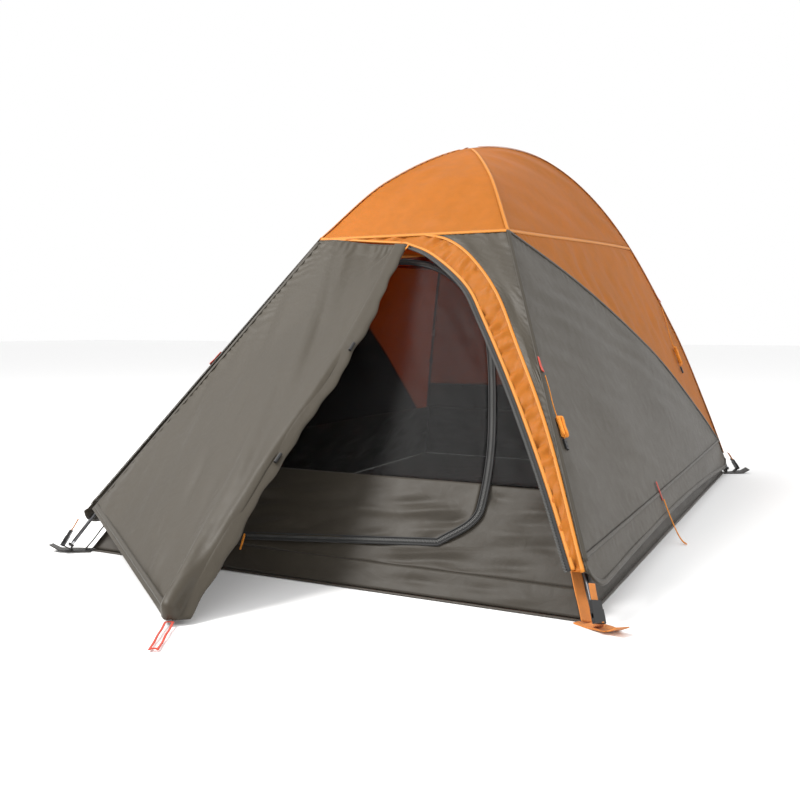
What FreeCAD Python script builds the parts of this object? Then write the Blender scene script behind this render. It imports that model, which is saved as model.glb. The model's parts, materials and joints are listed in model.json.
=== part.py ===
import FreeCAD, Part
import math
import os

# A two-pole dome tent: an inner tent hung from two crossed poles by clips, and a fly over both.
# Frame: millimetres, Z up, origin on the ground at the centre of the floor. The door faces -Y.

doc = FreeCAD.newDocument("TwoPoleTent")
sheet = doc.addObject("Spreadsheet::Sheet", "Dimensions")
DRIVING = (
    ("floor_length", 2160, "length of the floor, front to back"),
    ("floor_width", 1300, "width of the floor"),
    ("floor_thick", 3, "thickness of the floor"),
    ("apex_high", 1146, "top of the fly over the pole crossing"),
    ("apex_forward", 55, "how far the crossing lies in front of the floor's centre"),
    ("inner_high", 1088, "top of the inner tent"),
    ("seam_high", 833, "height of the fly's roof seam on the front wall"),
    ("seam_fraction", 0.437, "roof seam's place on the front ridge, from apex 0 to corner 1"),
    ("side_seam_fraction", 0.565, "roof seam's place on the rear ridge"),
    ("front_corner_high", 101, "lower end of the fly's front ridge"),
    ("rear_corner_high", 48, "lower end of the fly's rear ridge"),
    ("fly_overhang", 5, "how far the fly's corners stand outside the floor's corners"),
    ("fly_drop", 3, "vertical thickness of the fly's fabric"),
    ("inner_drop", 2, "vertical thickness of the inner tent's fabric"),
    ("inner_seam_high", 772, "top of the inner tent's front mesh"),
    ("inner_wall_high", 228, "top of the solid lower wall of the inner tent"),
    ("pole_diameter", 9, "outside diameter of a pole section"),
    ("pole_wall", 0.9, "wall of a pole section"),
    ("pole_below", 28, "pole centreline under the fly's ridge, on the legs"),
    ("crown_below", 14.5, "the upper pole's centreline under the fly at the crossing"),
    ("shock_cord", 3, "diameter of the elastic cord inside a pole"),
    ("ferrule_length", 32, "length of a joint sleeve between two pole sections"),
    ("ferrule_diameter", 12.4, "outside diameter of a joint sleeve"),
    ("tip_diameter", 7, "diameter of a pole end tip's pin"),
    ("stake_reach", 1478, "distance from the floor's centre to the flap's staked corner"),
    ("webbing_thick", 1.6, "thickness of webbing"),
    ("guy_cord", 2.6, "diameter of a guy line"),
    ("zip_wide", 16, "width of a zipper's tape"),
    ("tongue_length", 92, "length of a corner tongue"),
    ("tongue_wide", 46, "width of a corner tongue"),
    ("buckle_wide", 27, "width of a side-release buckle"),
    ("buckle_deep", 9, "thickness of a side-release buckle"),
    ("socket_length", 27, "length of a buckle's socket"),
    ("prong_length", 17, "length of a buckle's prong body outside its socket"),
)
for row, (alias, value, note) in enumerate(DRIVING, start=1):
    sheet.set(f"A{row}", note)
    sheet.set(f"B{row}", str(value))
    sheet.setAlias(f"B{row}", alias)
doc.recompute()


def dim(alias):
    """A driving dimension from the spreadsheet."""
    return float(sheet.get(alias))


def vec(x, y, z):
    return FreeCAD.Vector(x, y, z)


def mix(a, b, share):
    """The point or number that lies share of the way from a to b."""
    return a + (b - a) * share


UP = vec(0, 0, 1)
CROWN_TILT = 275  # rise of the ridges through the apex, towards the rear, per unit of fraction
HALF_LONG = dim("floor_length") / 2
HALF_WIDE = dim("floor_width") / 2
APEX_Y = -dim("apex_forward")
SEAM = dim("seam_fraction")
PARTS = []


def keep(feature, label):
    """Registers a document object as a sub-part under its own name."""
    feature.Label = label
    PARTS.append(feature)
    return feature


def solid_part(label, *solids):
    """A sub-part whose shape Part's functions made: one solid, or a group of them."""
    feature = doc.addObject("Part::Feature", label)
    feature.Shape = solids[0] if len(solids) == 1 else Part.makeCompound(list(solids))
    return keep(feature, label)


# ---------------------------------------------------------------- the vault of the fly and the inner tent


def height_curve(points, start_slope):
    """A smooth height over plan fraction, through (fraction, height) points, as a cubic Hermite."""

    def slope(i):
        if i == 0:
            return start_slope
        low, high = points[max(i - 1, 0)], points[min(i + 1, len(points) - 1)]
        return (high[1] - low[1]) / (high[0] - low[0])

    def height(fraction):
        i = 0
        while i < len(points) - 2 and fraction > points[i + 1][0]:
            i += 1
        (f0, h0), (f1, h1) = points[i], points[i + 1]
        span = f1 - f0
        t = (fraction - f0) / span
        if t > 1:
            return h1 + slope(i + 1) * (fraction - f1)
        a = 2 * t**3 - 3 * t**2 + 1
        b = t**3 - 2 * t**2 + t
        return a * h0 + (1 - a) * h1 + span * (b * slope(i) + (t**3 - t**2) * slope(i + 1))

    return height


def front_heights(apex, seam, corner):
    """A front ridge: curved over the roof, straight from the roof seam to the corner."""
    crown = height_curve(((0, apex), (0.25, mix(seam, apex, 0.585)), (SEAM, seam)), -CROWN_TILT)
    fall = (corner - seam) / (1 - SEAM)
    return lambda f: crown(f) if f < SEAM else seam + fall * (f - SEAM)


def rear_heights(apex, corner, dip):
    """A rear ridge: high over the sleepers' heads, then ever steeper down to the corner."""
    shares = ((0.25, 0.9905), (0.5, 0.8155), (0.75, 0.4745), (0.9, 0.202))
    inner = tuple((f, mix(corner, apex, share) - dip * f) for f, share in shares)
    return height_curve(((0, apex),) + inner + ((1, corner),), CROWN_TILT)


class Vault:
    """Four walls that meet on the tent's two diagonals. Fraction 0 is the apex and 1 is a corner."""

    def __init__(self, front, rear, wide, long):
        self.front, self.rear, self.wide, self.long = front, rear, wide, long

    def ridge(self, side, end, f):
        """A point on a ridge: side is -1 left or 1 right, end is -1 front or 1 rear."""
        height = self.front(f) if end < 0 else self.rear(f)
        return vec(side * self.wide * f, APEX_Y + (end * self.long - APEX_Y) * f, height)

    def side_wall(self, side):
        """The side wall as a function of depth, 0 front to 1 rear, and fraction."""
        return lambda v, f: mix(self.ridge(side, -1, f), self.ridge(side, 1, f), v)

    def end_wall(self, end):
        """The front or rear wall as a function of width, 0 left to 1 right, and fraction."""
        return lambda v, f: mix(self.ridge(-1, end, f), self.ridge(1, end, f), v)


def panel(wall, stations, upper, lower, strips, drop):
    """A fabric panel of a wall: from the upper to the lower edge, which are functions of v."""
    wires = []
    for v in stations:
        top, low = upper(v), lower(v)
        line = [wall(v, mix(top, low, j / strips)) for j in range(strips + 1)]
        back = [p - UP * drop for p in reversed(line)]
        wires.append(Part.makePolygon(line + back + [line[0]]))
    return Part.makeLoft(wires, True, True)


def even(count, start=0.0, stop=1.0):
    return [mix(start, stop, i / count) for i in range(count + 1)]


FLY_DROP = dim("fly_drop")
INNER_DROP = dim("inner_drop")
fly = Vault(
    front_heights(dim("apex_high"), dim("seam_high"), dim("front_corner_high")),
    rear_heights(dim("apex_high"), dim("rear_corner_high"), 0),
    HALF_WIDE + dim("fly_overhang"),
    HALF_LONG + dim("fly_overhang"),
)
INNER_INSET = 6
inner = Vault(
    front_heights(dim("inner_high"), dim("inner_seam_high"), dim("floor_thick") + INNER_DROP),
    rear_heights(dim("inner_high"), dim("floor_thick") + INNER_DROP, 12),
    HALF_WIDE - INNER_INSET,
    HALF_LONG - INNER_INSET,
)
APEX_PATCH = 0.03


def gores(vault, side_seam, drop):
    """The roof: four gores sewn along the ridges and a small patch over the crossing."""
    made = []
    for side in (-1, 1):
        seam = lambda v: mix(SEAM, side_seam, v)
        made.append(panel(vault.side_wall(side), even(5), lambda v: APEX_PATCH, seam, 5, drop))
    for end, seam in ((-1, SEAM), (1, side_seam)):
        wall = vault.end_wall(end)
        made.append(panel(wall, even(2), lambda v: APEX_PATCH, lambda v, s=seam: s, 6, drop))
    corners = [vault.ridge(side, end, APEX_PATCH) for side, end in ((-1, -1), (1, -1), (1, 1), (-1, 1))]
    wires = []
    for a, b in (corners[:2], (corners[3], corners[2])):
        wires.append(Part.makePolygon([a, b, b - UP * drop, a - UP * drop, a]))
    made.append(Part.makeLoft(wires, True, True))
    return made


# ---------------------------------------------------------------- fly

SIDE_SEAM = dim("side_seam_fraction")
BAND_TOP = (0.98, 0.962)
HEM_LOW = (1.03, 1.012)
SIDE_STATIONS = [0, 0.05, 0.2, 0.4, 0.6, 0.8, 0.95, 1]


def roof_seam(v):
    return mix(SEAM, SIDE_SEAM, v)


def band_top(v):
    return mix(BAND_TOP[0], BAND_TOP[1], v)


def colour_seam(v):
    """The slanting seam from the front of the roof seam to the foot of the rear ridge."""
    bow = 0.05 * 4 * v * (1 - v)
    return mix(SEAM, band_top(1), v) - bow


def hem(v):
    """The lower edge: short at the corners, where the pole ends and buckles show."""
    if v <= 0 or v >= 1:
        return 1.0
    return mix(HEM_LOW[0], HEM_LOW[1], v) - 0.014 * 4 * v * (1 - v)


def rear_hem(v):
    """The rear wall's lower edge, a little lower between its corners."""
    return 1.0 if v <= 0 or v >= 1 else 1.01


def narrow(seam_low, seam_high, least):
    """An edge that stays at least a sewn width below another, where two seams run together."""
    return lambda v: max(seam_low(v), seam_high(v) + least)


def side_panels(side, name):
    wall = fly.side_wall(side)
    diagonal = narrow(colour_seam, roof_seam, 0.004)
    foot = narrow(band_top, diagonal, 0.004)
    solid_part(f"fly_side_orange_{name}", panel(wall, SIDE_STATIONS, roof_seam, diagonal, 5, FLY_DROP))
    solid_part(f"fly_side_dark_{name}", panel(wall, SIDE_STATIONS, diagonal, foot, 5, FLY_DROP))
    return panel(wall, SIDE_STATIONS, foot, hem, 2, FLY_DROP)


solid_part("fly_roof", *gores(fly, SIDE_SEAM, FLY_DROP))
hem_bands = [side_panels(side, name) for side, name in ((-1, "left"), (1, "right"))]
solid_part("fly_hem_bands", *hem_bands)
REAR_SPLIT = 0.87
rear_wall = fly.end_wall(1)
solid_part(
    "fly_rear_upper",
    panel(rear_wall, even(2), lambda v: SIDE_SEAM, lambda v: REAR_SPLIT, 5, FLY_DROP),
)
solid_part(
    "fly_rear_lower",
    panel(rear_wall, [0, 0.06, 0.5, 0.94, 1], lambda v: REAR_SPLIT, rear_hem, 4, FLY_DROP),
)


class FrontPlane:
    """The flat front wall of a vault below its roof seam, addressed by x and height."""

    def __init__(self, vault):
        self.top = vault.ridge(0, -1, SEAM)
        foot = vault.ridge(0, -1, 1)
        self.run = foot.y - self.top.y
        self.fall = foot.z - self.top.z
        self.out = vec(0, self.fall, -self.run).normalize()

    def at(self, x, z, off=0.0):
        """The point of the plane at x and height z, moved out of the wall by off."""
        y = self.top.y + self.run * (z - self.top.z) / self.fall
        return vec(x, y, z) + self.out * off


def smooth(points):
    """One spline edge through points."""
    curve = Part.BSplineCurve()
    curve.interpolate(points)
    return curve.toShape()


def outline(*pieces):
    """A flat face from pieces in order: a list of points is a spline, and gaps close straight."""
    edges = []
    ends = [(piece[0], piece[-1]) for piece in pieces]
    for i, piece in enumerate(pieces):
        edges.append(smooth(piece) if len(piece) > 2 else Part.makeLine(*piece))
        following = ends[(i + 1) % len(ends)][0]
        if piece[-1].distanceToPoint(following) > 1e-6:
            edges.append(Part.makeLine(piece[-1], following))
    return Part.Face(Part.Wire(edges))


fly_front = FrontPlane(fly)
SEAM_HIGH = dim("seam_high")
CORNER_HIGH = dim("front_corner_high")
# The door arch's inner edge and the band's outer edge, as (x, height) from the top centre down.
ARCH_INNER = ((0, 806), (90, 770), (210, 686), (290, 590), (408, 430), (520, 264), (620, CORNER_HIGH))
ARCH_OUTER = ((45, SEAM_HIGH), (124, 813), (205, 762), (300, 668), (385, 545), (510, 352), (644, CORNER_HIGH))
RIDGE_TOP_X = fly.ridge(1, -1, SEAM).x
RIDGE_LOW_X = fly.ridge(1, -1, 1).x


def on_front(points, off=0.0):
    return [fly_front.at(x, z, off) for x, z in points]


def extruded(face, drop):
    return face.extrude(vec(0, 0, -drop))


band_face = outline(
    on_front(((-RIDGE_TOP_X, SEAM_HIGH), ARCH_INNER[0])),
    on_front(ARCH_INNER),
    on_front(tuple(reversed(ARCH_OUTER))),
)
solid_part("fly_arch_band", extruded(band_face, FLY_DROP))
wedge_face = outline(
    on_front(ARCH_OUTER),
    on_front(((RIDGE_LOW_X, CORNER_HIGH), (RIDGE_TOP_X, SEAM_HIGH))),
)
solid_part("fly_front_panel", extruded(wedge_face, FLY_DROP))

# ---------------------------------------------------------------- vestibule flap

FLAP_LIFT = 6
FLAP_HINGE = (fly_front.at(-278, 826, FLAP_LIFT), fly_front.at(-628, 108, FLAP_LIFT))
FLAP_FREE_TOP = fly_front.at(4, 798, FLAP_LIFT)
FLAP_TIP = vec(-68, -dim("stake_reach"), 11)
FLAP_FREE_LOW = FLAP_TIP + vec(38, 34, 0)
FREE_BOW = 28
TOGGLE_DOWN = 0.68
ROLL_WIDE = 52
ROLL_THICK = 15


def flap_point(across, down):
    """The flap's surface: across from its sewn edge to its free edge, and down from the arch."""
    sewn = mix(FLAP_HINGE[0], FLAP_HINGE[1], down)
    bow = FREE_BOW * math.sin(math.pi * min(1, down / TOGGLE_DOWN))
    free = mix(FLAP_FREE_TOP, FLAP_FREE_LOW, down) + vec(bow, 0, 0)
    hem_bulge = (FLAP_TIP - mix(FLAP_HINGE[1], FLAP_FREE_LOW, 0.9)) * (down * min(1, across / 0.9))
    return mix(sewn, free, across) + hem_bulge * min(1, (1 - across) / 0.1)


def roll_wide(down):
    return min(ROLL_WIDE, 0.12 * (flap_point(0, down) - flap_point(1, down)).Length)


def sheet_solid(rows, drop):
    """A fabric sheet from rows of points: ruled patches, their copies below, and walls between."""
    faces = []
    for near, far in zip(rows, rows[1:]):
        for i in range(len(near) - 1):
            top = Part.makeRuledSurface(Part.makeLine(near[i], near[i + 1]), Part.makeLine(far[i], far[i + 1]))
            under = top.copy()
            under.translate(vec(0, 0, -drop))
            faces += [top, under]
    rim = rows[0] + [row[-1] for row in rows[1:]] + rows[-1][-2::-1] + [row[0] for row in rows[-2::-1]]
    faces += [Part.makeLine(a, b).extrude(vec(0, 0, -drop)) for a, b in zip(rim, rim[1:])]
    shell = Part.makeShell(faces)
    shell.sewShape()
    solid = Part.makeSolid(shell)
    if solid.Volume < 0:
        solid.reverse()
    return solid


def flap_row(down):
    """The spread half of the flap at one height, up to a hair before the rolled half."""
    long = (flap_point(0, down) - flap_point(1, down)).Length
    last = 1 - (roll_wide(down) + 0.6) / long
    return [flap_point(last * share, down) for share in even(5)]


solid_part("vestibule_flap", sheet_solid([flap_row(down) for down in even(9)], FLY_DROP))


def roll_section(down):
    """A six-sided section of the rolled half, lying just under the flap's free edge."""
    free = flap_point(1, down)
    inward = (flap_point(0, down) - free).normalize()
    along = (FLAP_FREE_LOW - FLAP_FREE_TOP).normalize()
    out = along.cross(inward).normalize()
    if out.z < 0:
        out = out * -1
    wide = roll_wide(down)
    thick = ROLL_THICK * wide / ROLL_WIDE
    shape = ((0, 0), (0.15, 0.5), (0.85, 0.5), (0.97, 0), (0.85, -0.5), (0.15, -0.5))
    ring = [free + inward * (wide * a) + out * (thick * b) for a, b in shape]
    return Part.makePolygon(ring + [ring[0]])


solid_part("vestibule_roll", Part.makeLoft([roll_section(d) for d in even(9, 0.04, 1)], True, True))


def bar(start, end, wide_way, wide, thick):
    """A straight flat strap from start to end, wide along wide_way."""
    along = end - start
    across = (wide_way - along * (wide_way.dot(along) / along.dot(along))).normalize()
    normal = along.cross(across).normalize()
    ring = []
    for a, b in ((-0.5, -0.5), (0.5, -0.5), (0.5, 0.5), (-0.5, 0.5)):
        ring.append(start + across * (wide * a) + normal * (thick * b))
    return Part.Face(Part.makePolygon(ring + [ring[0]])).extrude(along)


STAKE_LOOP_END = vec(8, -dim("stake_reach") - 124, 3)
loop_start = FLAP_TIP + vec(8, 4, -3)
loop_along = (STAKE_LOOP_END - loop_start).normalize()
loop_across = loop_along.cross(UP).normalize()
loop_sides = []
for shift in (-7.5, 7.5):
    sideways = loop_across * shift
    loop_sides.append(bar(loop_start + sideways, STAKE_LOOP_END + sideways, loop_across, 5, 1.4))
for end_point in (loop_start, STAKE_LOOP_END - loop_along * 6):
    cross_bar = bar(end_point - loop_across * 8, end_point + loop_across * 8, loop_along, 6, 1.4)
    loop_sides.append(cross_bar)
stake_loop = loop_sides[0].multiFuse(loop_sides[1:])
solid_part("vestibule_stake_loop", stake_loop.removeSplitter())


# ---------------------------------------------------------------- inner tent

inner_front = FrontPlane(inner)
INNER_SEAM_HIGH = dim("inner_seam_high")
WALL_HIGH = dim("inner_wall_high")
PLANE_RISE = abs(inner_front.fall) / math.hypot(inner_front.run, inner_front.fall)
# The D door's zipper line, as (x, height), from the hinge's top over and down to the sill's left end.
DOOR_CURVE = (
    (-205, 700), (-120, 746), (-17, 758), (96, 737), (200, 674),
    (276, 582), (318, 490), (366, 320), (380, 200), (368, 152),
)
DOOR_SILL = ((300, 106), (-480, 56))


def widened(points, off):
    """A line on the wall moved to its left by off, measured in the wall."""
    moved = []
    for i, (x, z) in enumerate(points):
        ax, az = points[max(i - 1, 0)]
        bx, bz = points[min(i + 1, len(points) - 1)]
        tx, tz = bx - ax, (bz - az) / PLANE_RISE
        size = math.hypot(tx, tz)
        moved.append((x - off * tz / size, z + off * tx / size * PLANE_RISE))
    return moved


def door_face(off, lift, hinge_shift=0):
    """The door's outline grown by off, with its straight hinge side on the left moved by hinge_shift."""
    curve = [inner_front.at(x, z, 0) for x, z in widened(DOOR_CURVE, off)]
    sill = [inner_front.at(x, z, 0) for x, z in widened(DOOR_SILL, off)]
    curve[0] = curve[0] + vec(hinge_shift, 0, 0)
    sill[-1] = sill[-1] + (sill[0] - sill[-1]).normalize() * hinge_shift
    face = outline(curve, sill)
    face.translate(UP * lift)
    return face


def height_slab(low, high):
    """A box over the whole front between two heights."""
    return Part.makeBox(1600, 900, high - low, vec(-800, -1300, low))


CUT_LIFT = 12
ZIP_HALF = dim("zip_wide") / 2
ZIP_GAP = 2.2
wall_face = Part.Face(
    Part.makePolygon(
        [
            inner.ridge(-1, -1, SEAM),
            inner.ridge(1, -1, SEAM),
            inner.ridge(1, -1, 1),
            inner.ridge(-1, -1, 1),
            inner.ridge(-1, -1, SEAM),
        ]
    )
)
front_sheet = extruded(wall_face, INNER_DROP)
doorway = extruded(door_face(ZIP_HALF, CUT_LIFT), 2 * CUT_LIFT)
front_frame = front_sheet.cut(doorway)
door_sheet = extruded(door_face(-ZIP_HALF - ZIP_GAP, 0, 9), INNER_DROP)
zip_ring = extruded(door_face(ZIP_HALF, 0), INNER_DROP).cut(
    extruded(door_face(-ZIP_HALF, CUT_LIFT, -30), 2 * CUT_LIFT)
)
low_slab = height_slab(-20, WALL_HIGH)
high_slab = height_slab(WALL_HIGH, INNER_SEAM_HIGH + 20)
solid_part("inner_front_wall", *front_frame.common(low_slab).Solids)
solid_part("inner_front_mesh", *front_frame.common(high_slab).Solids)
solid_part("door_panel", *door_sheet.common(low_slab).Solids)
solid_part("door_mesh", *door_sheet.common(high_slab).Solids)
solid_part("door_zip", *zip_ring.Solids)


def fraction_at(height, z):
    """The fraction at which a falling height function reaches z."""
    low, high = 0.3, 1.0
    for _ in range(40):
        middle = (low + high) / 2
        if height(middle) > z:
            low = middle
        else:
            high = middle
    return low


WALL_FRONT = fraction_at(inner.front, WALL_HIGH)
WALL_REAR = fraction_at(inner.rear, WALL_HIGH)


def wall_top(v):
    return mix(WALL_FRONT, WALL_REAR, v)


def foot_line(v):
    return 1.0


side_walls = [inner.side_wall(side) for side in (-1, 1)]
solid_part("inner_side_walls", *[panel(w, even(6), wall_top, foot_line, 2, INNER_DROP) for w in side_walls])
under_roof = lambda v: roof_seam(v) + 0.003
solid_part("inner_side_meshes", *[panel(w, even(6), under_roof, wall_top, 5, INNER_DROP) for w in side_walls])
inner_rear = inner.end_wall(1)
solid_part("inner_rear_wall", panel(inner_rear, even(2), lambda v: WALL_REAR, foot_line, 2, INNER_DROP))
solid_part("inner_rear_mesh", panel(inner_rear, even(2), lambda v: SIDE_SEAM, lambda v: WALL_REAR, 5, INNER_DROP))
solid_part("inner_roof", *gores(inner, SIDE_SEAM, INNER_DROP))

# ---------------------------------------------------------------- PartDesign helpers


def origin_plane(body, role):
    return next(o for o in body.Origin.OriginFeatures if o.Role == role)


def sketch(body, name, role, rectangles, lift=0.0):
    """A sketch of rectangles, each (low x, low y, high x, high y), on a plane lifted along its normal."""
    made = body.newObject("Sketcher::SketchObject", name)
    made.AttachmentSupport = [(origin_plane(body, role), "")]
    made.MapMode = "FlatFace"
    made.AttachmentOffset = FreeCAD.Placement(vec(0, 0, lift), FreeCAD.Rotation())
    for x0, y0, x1, y1 in rectangles:
        corners = [vec(x0, y0, 0), vec(x1, y0, 0), vec(x1, y1, 0), vec(x0, y1, 0)]
        for a, b in zip(corners, corners[1:] + corners[:1]):
            made.addGeometry(Part.LineSegment(a, b), False)
    return made


def pad(body, base, length, reverse=False):
    """A pad whose length is an expression, or a number."""
    made = body.newObject("PartDesign::Pad", f"{base.Name}_pad")
    made.Profile = base
    made.Reversed = reverse
    if isinstance(length, str):
        made.setExpression("Length", length)
    else:
        made.Length = length
    return made


def pocket(body, base, length):
    """A pocket cut upwards, along the sketch's normal."""
    made = body.newObject("PartDesign::Pocket", f"{base.Name}_pocket")
    made.Profile = base
    made.Reversed = True
    if isinstance(length, str):
        made.setExpression("Length", length)
    else:
        made.Length = length
    return made


def frame_at(origin, z_way, x_way):
    """A placement whose Z axis is z_way and whose X axis is x_way made square to it."""
    z = vec(*z_way).normalize()
    x = (x_way - z * x_way.dot(z)).normalize()
    y = z.cross(x)
    rotation = FreeCAD.Rotation(x, y, z, "ZXY")
    return FreeCAD.Placement(origin, rotation)


floor = doc.addObject("PartDesign::Body", "tub_floor")
floor_sketch = sketch(floor, "floor_outline", "XY_Plane", [(-HALF_WIDE, -HALF_LONG, HALF_WIDE, HALF_LONG)])
pad(floor, floor_sketch, "Dimensions.floor_thick")
keep(floor, "tub_floor")
doc.recompute()

# ---------------------------------------------------------------- poles

POLE_BREAKS = (0.2, 0.47, 0.74, 1.0)
LEG_BELOW = dim("pole_below")
POLE_GAP = 1.2
FOOT_START = 0.9
POLES = {
    "a": {"below": dim("crown_below"), "ends": ((1, -1), (-1, 1))},
    "b": {"below": dim("crown_below") + dim("pole_diameter") + POLE_GAP, "ends": ((-1, -1), (1, 1))},
}
FOOT_HIGH = 27


def pole_foot(side, end):
    """The lower end of a pole, just outside the floor's corner."""
    out_x, out_y = (22, 25) if end < 0 else (5, 6)
    return vec(side * (HALF_WIDE + out_x), end * (HALF_LONG + out_y), FOOT_HIGH)


def pole_point(pole, side, end, f):
    """A point on a pole's centreline, under the fly's ridge and then straight to its foot."""
    bend = min(f, 0.3) / 0.3
    below = mix(pole["below"], LEG_BELOW, bend)
    if f <= FOOT_START:
        return fly.ridge(side, end, f) - UP * below
    start = fly.ridge(side, end, FOOT_START) - UP * LEG_BELOW
    return mix(start, pole_foot(side, end), (f - FOOT_START) / (1 - FOOT_START))


def arc_through(points):
    """The arc through three points, or a straight line where they lie on one."""
    start, middle, end = points
    if middle.distanceToLine(start, end - start) < 0.2:
        return Part.makeLine(start, end)
    return Part.Arc(start, middle, end).toShape()


def arc_tube(points, radius, bore):
    """A tube along the arc through three points."""
    start = points[0]
    arc = arc_through(points)
    way = arc.tangentAt(arc.FirstParameter)
    path = Part.Wire(arc)
    tube = path.makePipe(Part.Face(Part.Wire(Part.makeCircle(radius, start, way))))
    if not bore:
        return tube
    hole = path.makePipe(Part.Face(Part.Wire(Part.makeCircle(bore, start, way))))
    return tube.cut(hole)


def pole_spans(pole):
    """The three points of every section: (end number or None for the crown, points)."""
    spans = []
    (fs, fe), (rs, re) = pole["ends"]
    first = POLE_BREAKS[0]
    crown = (pole_point(pole, fs, fe, first), pole_point(pole, 0, fe, 0), pole_point(pole, rs, re, first))
    spans.append((None, crown))
    for number, (side, end) in enumerate(pole["ends"]):
        for f0, f1 in zip(POLE_BREAKS, POLE_BREAKS[1:]):
            spans.append((number, [pole_point(pole, side, end, f) for f in (f0, (f0 + f1) / 2, f1)]))
    return spans


def on_pole(pole, number, f):
    """The pole's own centreline and direction at fraction f towards one of its ends."""
    step = sum(f > b for b in POLE_BREAKS)
    if step == 0:
        span, share = 0, 0.5 + (f if number else -f) / (2 * POLE_BREAKS[0])
    else:
        span = (len(POLE_BREAKS) - 1) * number + step
        share = (f - POLE_BREAKS[step - 1]) / (POLE_BREAKS[step] - POLE_BREAKS[step - 1])
    arc = arc_through(pole["spans"][span])
    place = mix(arc.FirstParameter, arc.LastParameter, share)
    return arc.valueAt(place), arc.tangentAt(place)


POLE_RADIUS = dim("pole_diameter") / 2
POLE_BORE = POLE_RADIUS - dim("pole_wall")
FIT_GAP = 0.45
ferrules, tips, cords = [], [], []
for letter, pole in POLES.items():
    spans = pole_spans(pole)
    pole["spans"] = [points for _, points in spans]
    cords += [arc_tube(points, dim("shock_cord") / 2, 0) for _, points in spans]
    for number, name in ((0, "front_leg"), (None, "crown"), (1, "rear_leg")):
        tubes = [arc_tube(points, POLE_RADIUS, POLE_BORE) for n, points in spans if n == number]
        solid_part(f"pole_{letter}_{name}", *tubes)
    for number, (side, end) in enumerate(pole["ends"]):
        for f in POLE_BREAKS[:-1]:
            (at, above), (_, below) = on_pole(pole, number, f), on_pole(pole, number, f + 0.0001)
            way = above + below if above.dot(below) > 0 else below - above
            half = dim("ferrule_length") / 2
            base = at - way.normalize() * half
            sleeve = Part.makeCylinder(dim("ferrule_diameter") / 2, 2 * half, base, way)
            ferrules.append(sleeve.cut(Part.makeCylinder(POLE_RADIUS + 2 * FIT_GAP, 2 * half, base, way)))
        foot = pole_foot(side, end)
        way = (foot - pole_point(pole, side, end, 0.95)).normalize()
        tips.append(Part.makeCylinder(dim("tip_diameter") / 2, 16, foot, way))
        tips[-1] = tips[-1].fuse(Part.makeCylinder(POLE_RADIUS, 4, foot, way))
solid_part("pole_ferrules", *ferrules)
solid_part("pole_tips", *tips)
solid_part("shock_cords", *cords)

# ---------------------------------------------------------------- clips between the poles and the inner tent

CLIP_FRACTIONS = (0.14, 0.33, 0.56, 0.8)


def clip(pole, number, f):
    """A plastic hook around a pole with a stem down to the inner tent's ridge."""
    side, end = pole["ends"][number]
    at, way = on_pole(pole, number, f)
    length = 14
    base = at - way * (length / 2)
    ring = Part.makeCylinder(POLE_RADIUS + 2.6, length, base, way)
    ring = ring.cut(Part.makeCylinder(POLE_RADIUS + FIT_GAP, length, base, way))
    target = inner.ridge(side, end, f) + UP * 0.4
    down = target - at
    down = down - way * down.dot(way)
    reach = down.Length
    down = down.normalize()
    stem = bar(at + down * (POLE_RADIUS + 1), at + down * (reach - 1.5), way, 12, 3)
    return ring.fuse(stem)


clips = [
    clip(pole, number, f) for pole in POLES.values() for number in (0, 1) for f in CLIP_FRACTIONS
]
solid_part("pole_clips", *clips)

# ---------------------------------------------------------------- corners: tongues, sleeves and buckles

TONGUE_WAY = (0.87, 0.5)
CORNERS = (("fl", -1, -1), ("fr", 1, -1), ("rl", -1, 1), ("rr", 1, 1))
FLOOR_BOX = Part.makeBox(2 * HALF_WIDE, 2 * HALF_LONG, 10, vec(-HALF_WIDE, -HALF_LONG, -2))


def corner_patch(side, end):
    """The sewn corner: a tongue on the ground, an upright strap and a ring for the pole's tip."""
    corner = vec(side * HALF_WIDE, end * HALF_LONG, 0)
    out = vec(side * TONGUE_WAY[0], end * TONGUE_WAY[1], 0).normalize()
    across = out.cross(UP)
    start = corner + UP * 1.2 - out * 12
    flat = bar(start, corner + UP * 1.2 + out * (dim("tongue_length") - 22), across, dim("tongue_wide"), 2.4)
    curl_start = corner + UP * 1.2 + out * (dim("tongue_length") - 22.4)
    curl = bar(curl_start, curl_start + out * 24 + UP * 7, across, dim("tongue_wide") * 0.8, 2.4)
    tongue = flat.fuse(curl).cut(FLOOR_BOX)
    low = corner + vec(side * 3, end * 4, 3.9)
    high = inner.ridge(side, end, 0.925) + vec(side * 0.54, end * 0.84, 0) * 14
    strap = bar(low, high, across, 26, 2.2)
    foot = pole_foot(side, end)
    way = (foot - pole_point(POLES["a"], side, end, 0.95)).normalize()
    ring_base = foot + way * 8
    ring = Part.makeCylinder(7.5, 6, ring_base, way)
    ring = ring.cut(Part.makeCylinder(dim("tip_diameter") / 2 + 0.3, 6, ring_base, way))
    stay = bar(vec(ring_base.x, ring_base.y, 2.3), ring_base + way * 3 + vec(0, 0, -7), across, 9, 3)
    return [tongue, strap, ring, stay]


def buckle_frame(side, end):
    """Where a corner's buckle hangs: from above the tongue up along the fly's ridge."""
    away_x, away_y = (38, 50) if end < 0 else (44, 32)
    low = vec(side * (HALF_WIDE + away_x), end * (HALF_LONG + away_y), 19)
    ridge = fly.ridge(side, end, fraction_at(fly.front if end < 0 else fly.rear, 130))
    high = ridge + vec(side * 0.54, end * 0.84, 0) * 13
    return frame_at(low, high - low, vec(side * 0.5, end * -0.87, 0))


SOCKET_LONG = dim("socket_length")
BUCKLE_HALF = dim("buckle_wide") / 2
BUCKLE_THIN = dim("buckle_deep") / 2


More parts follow.
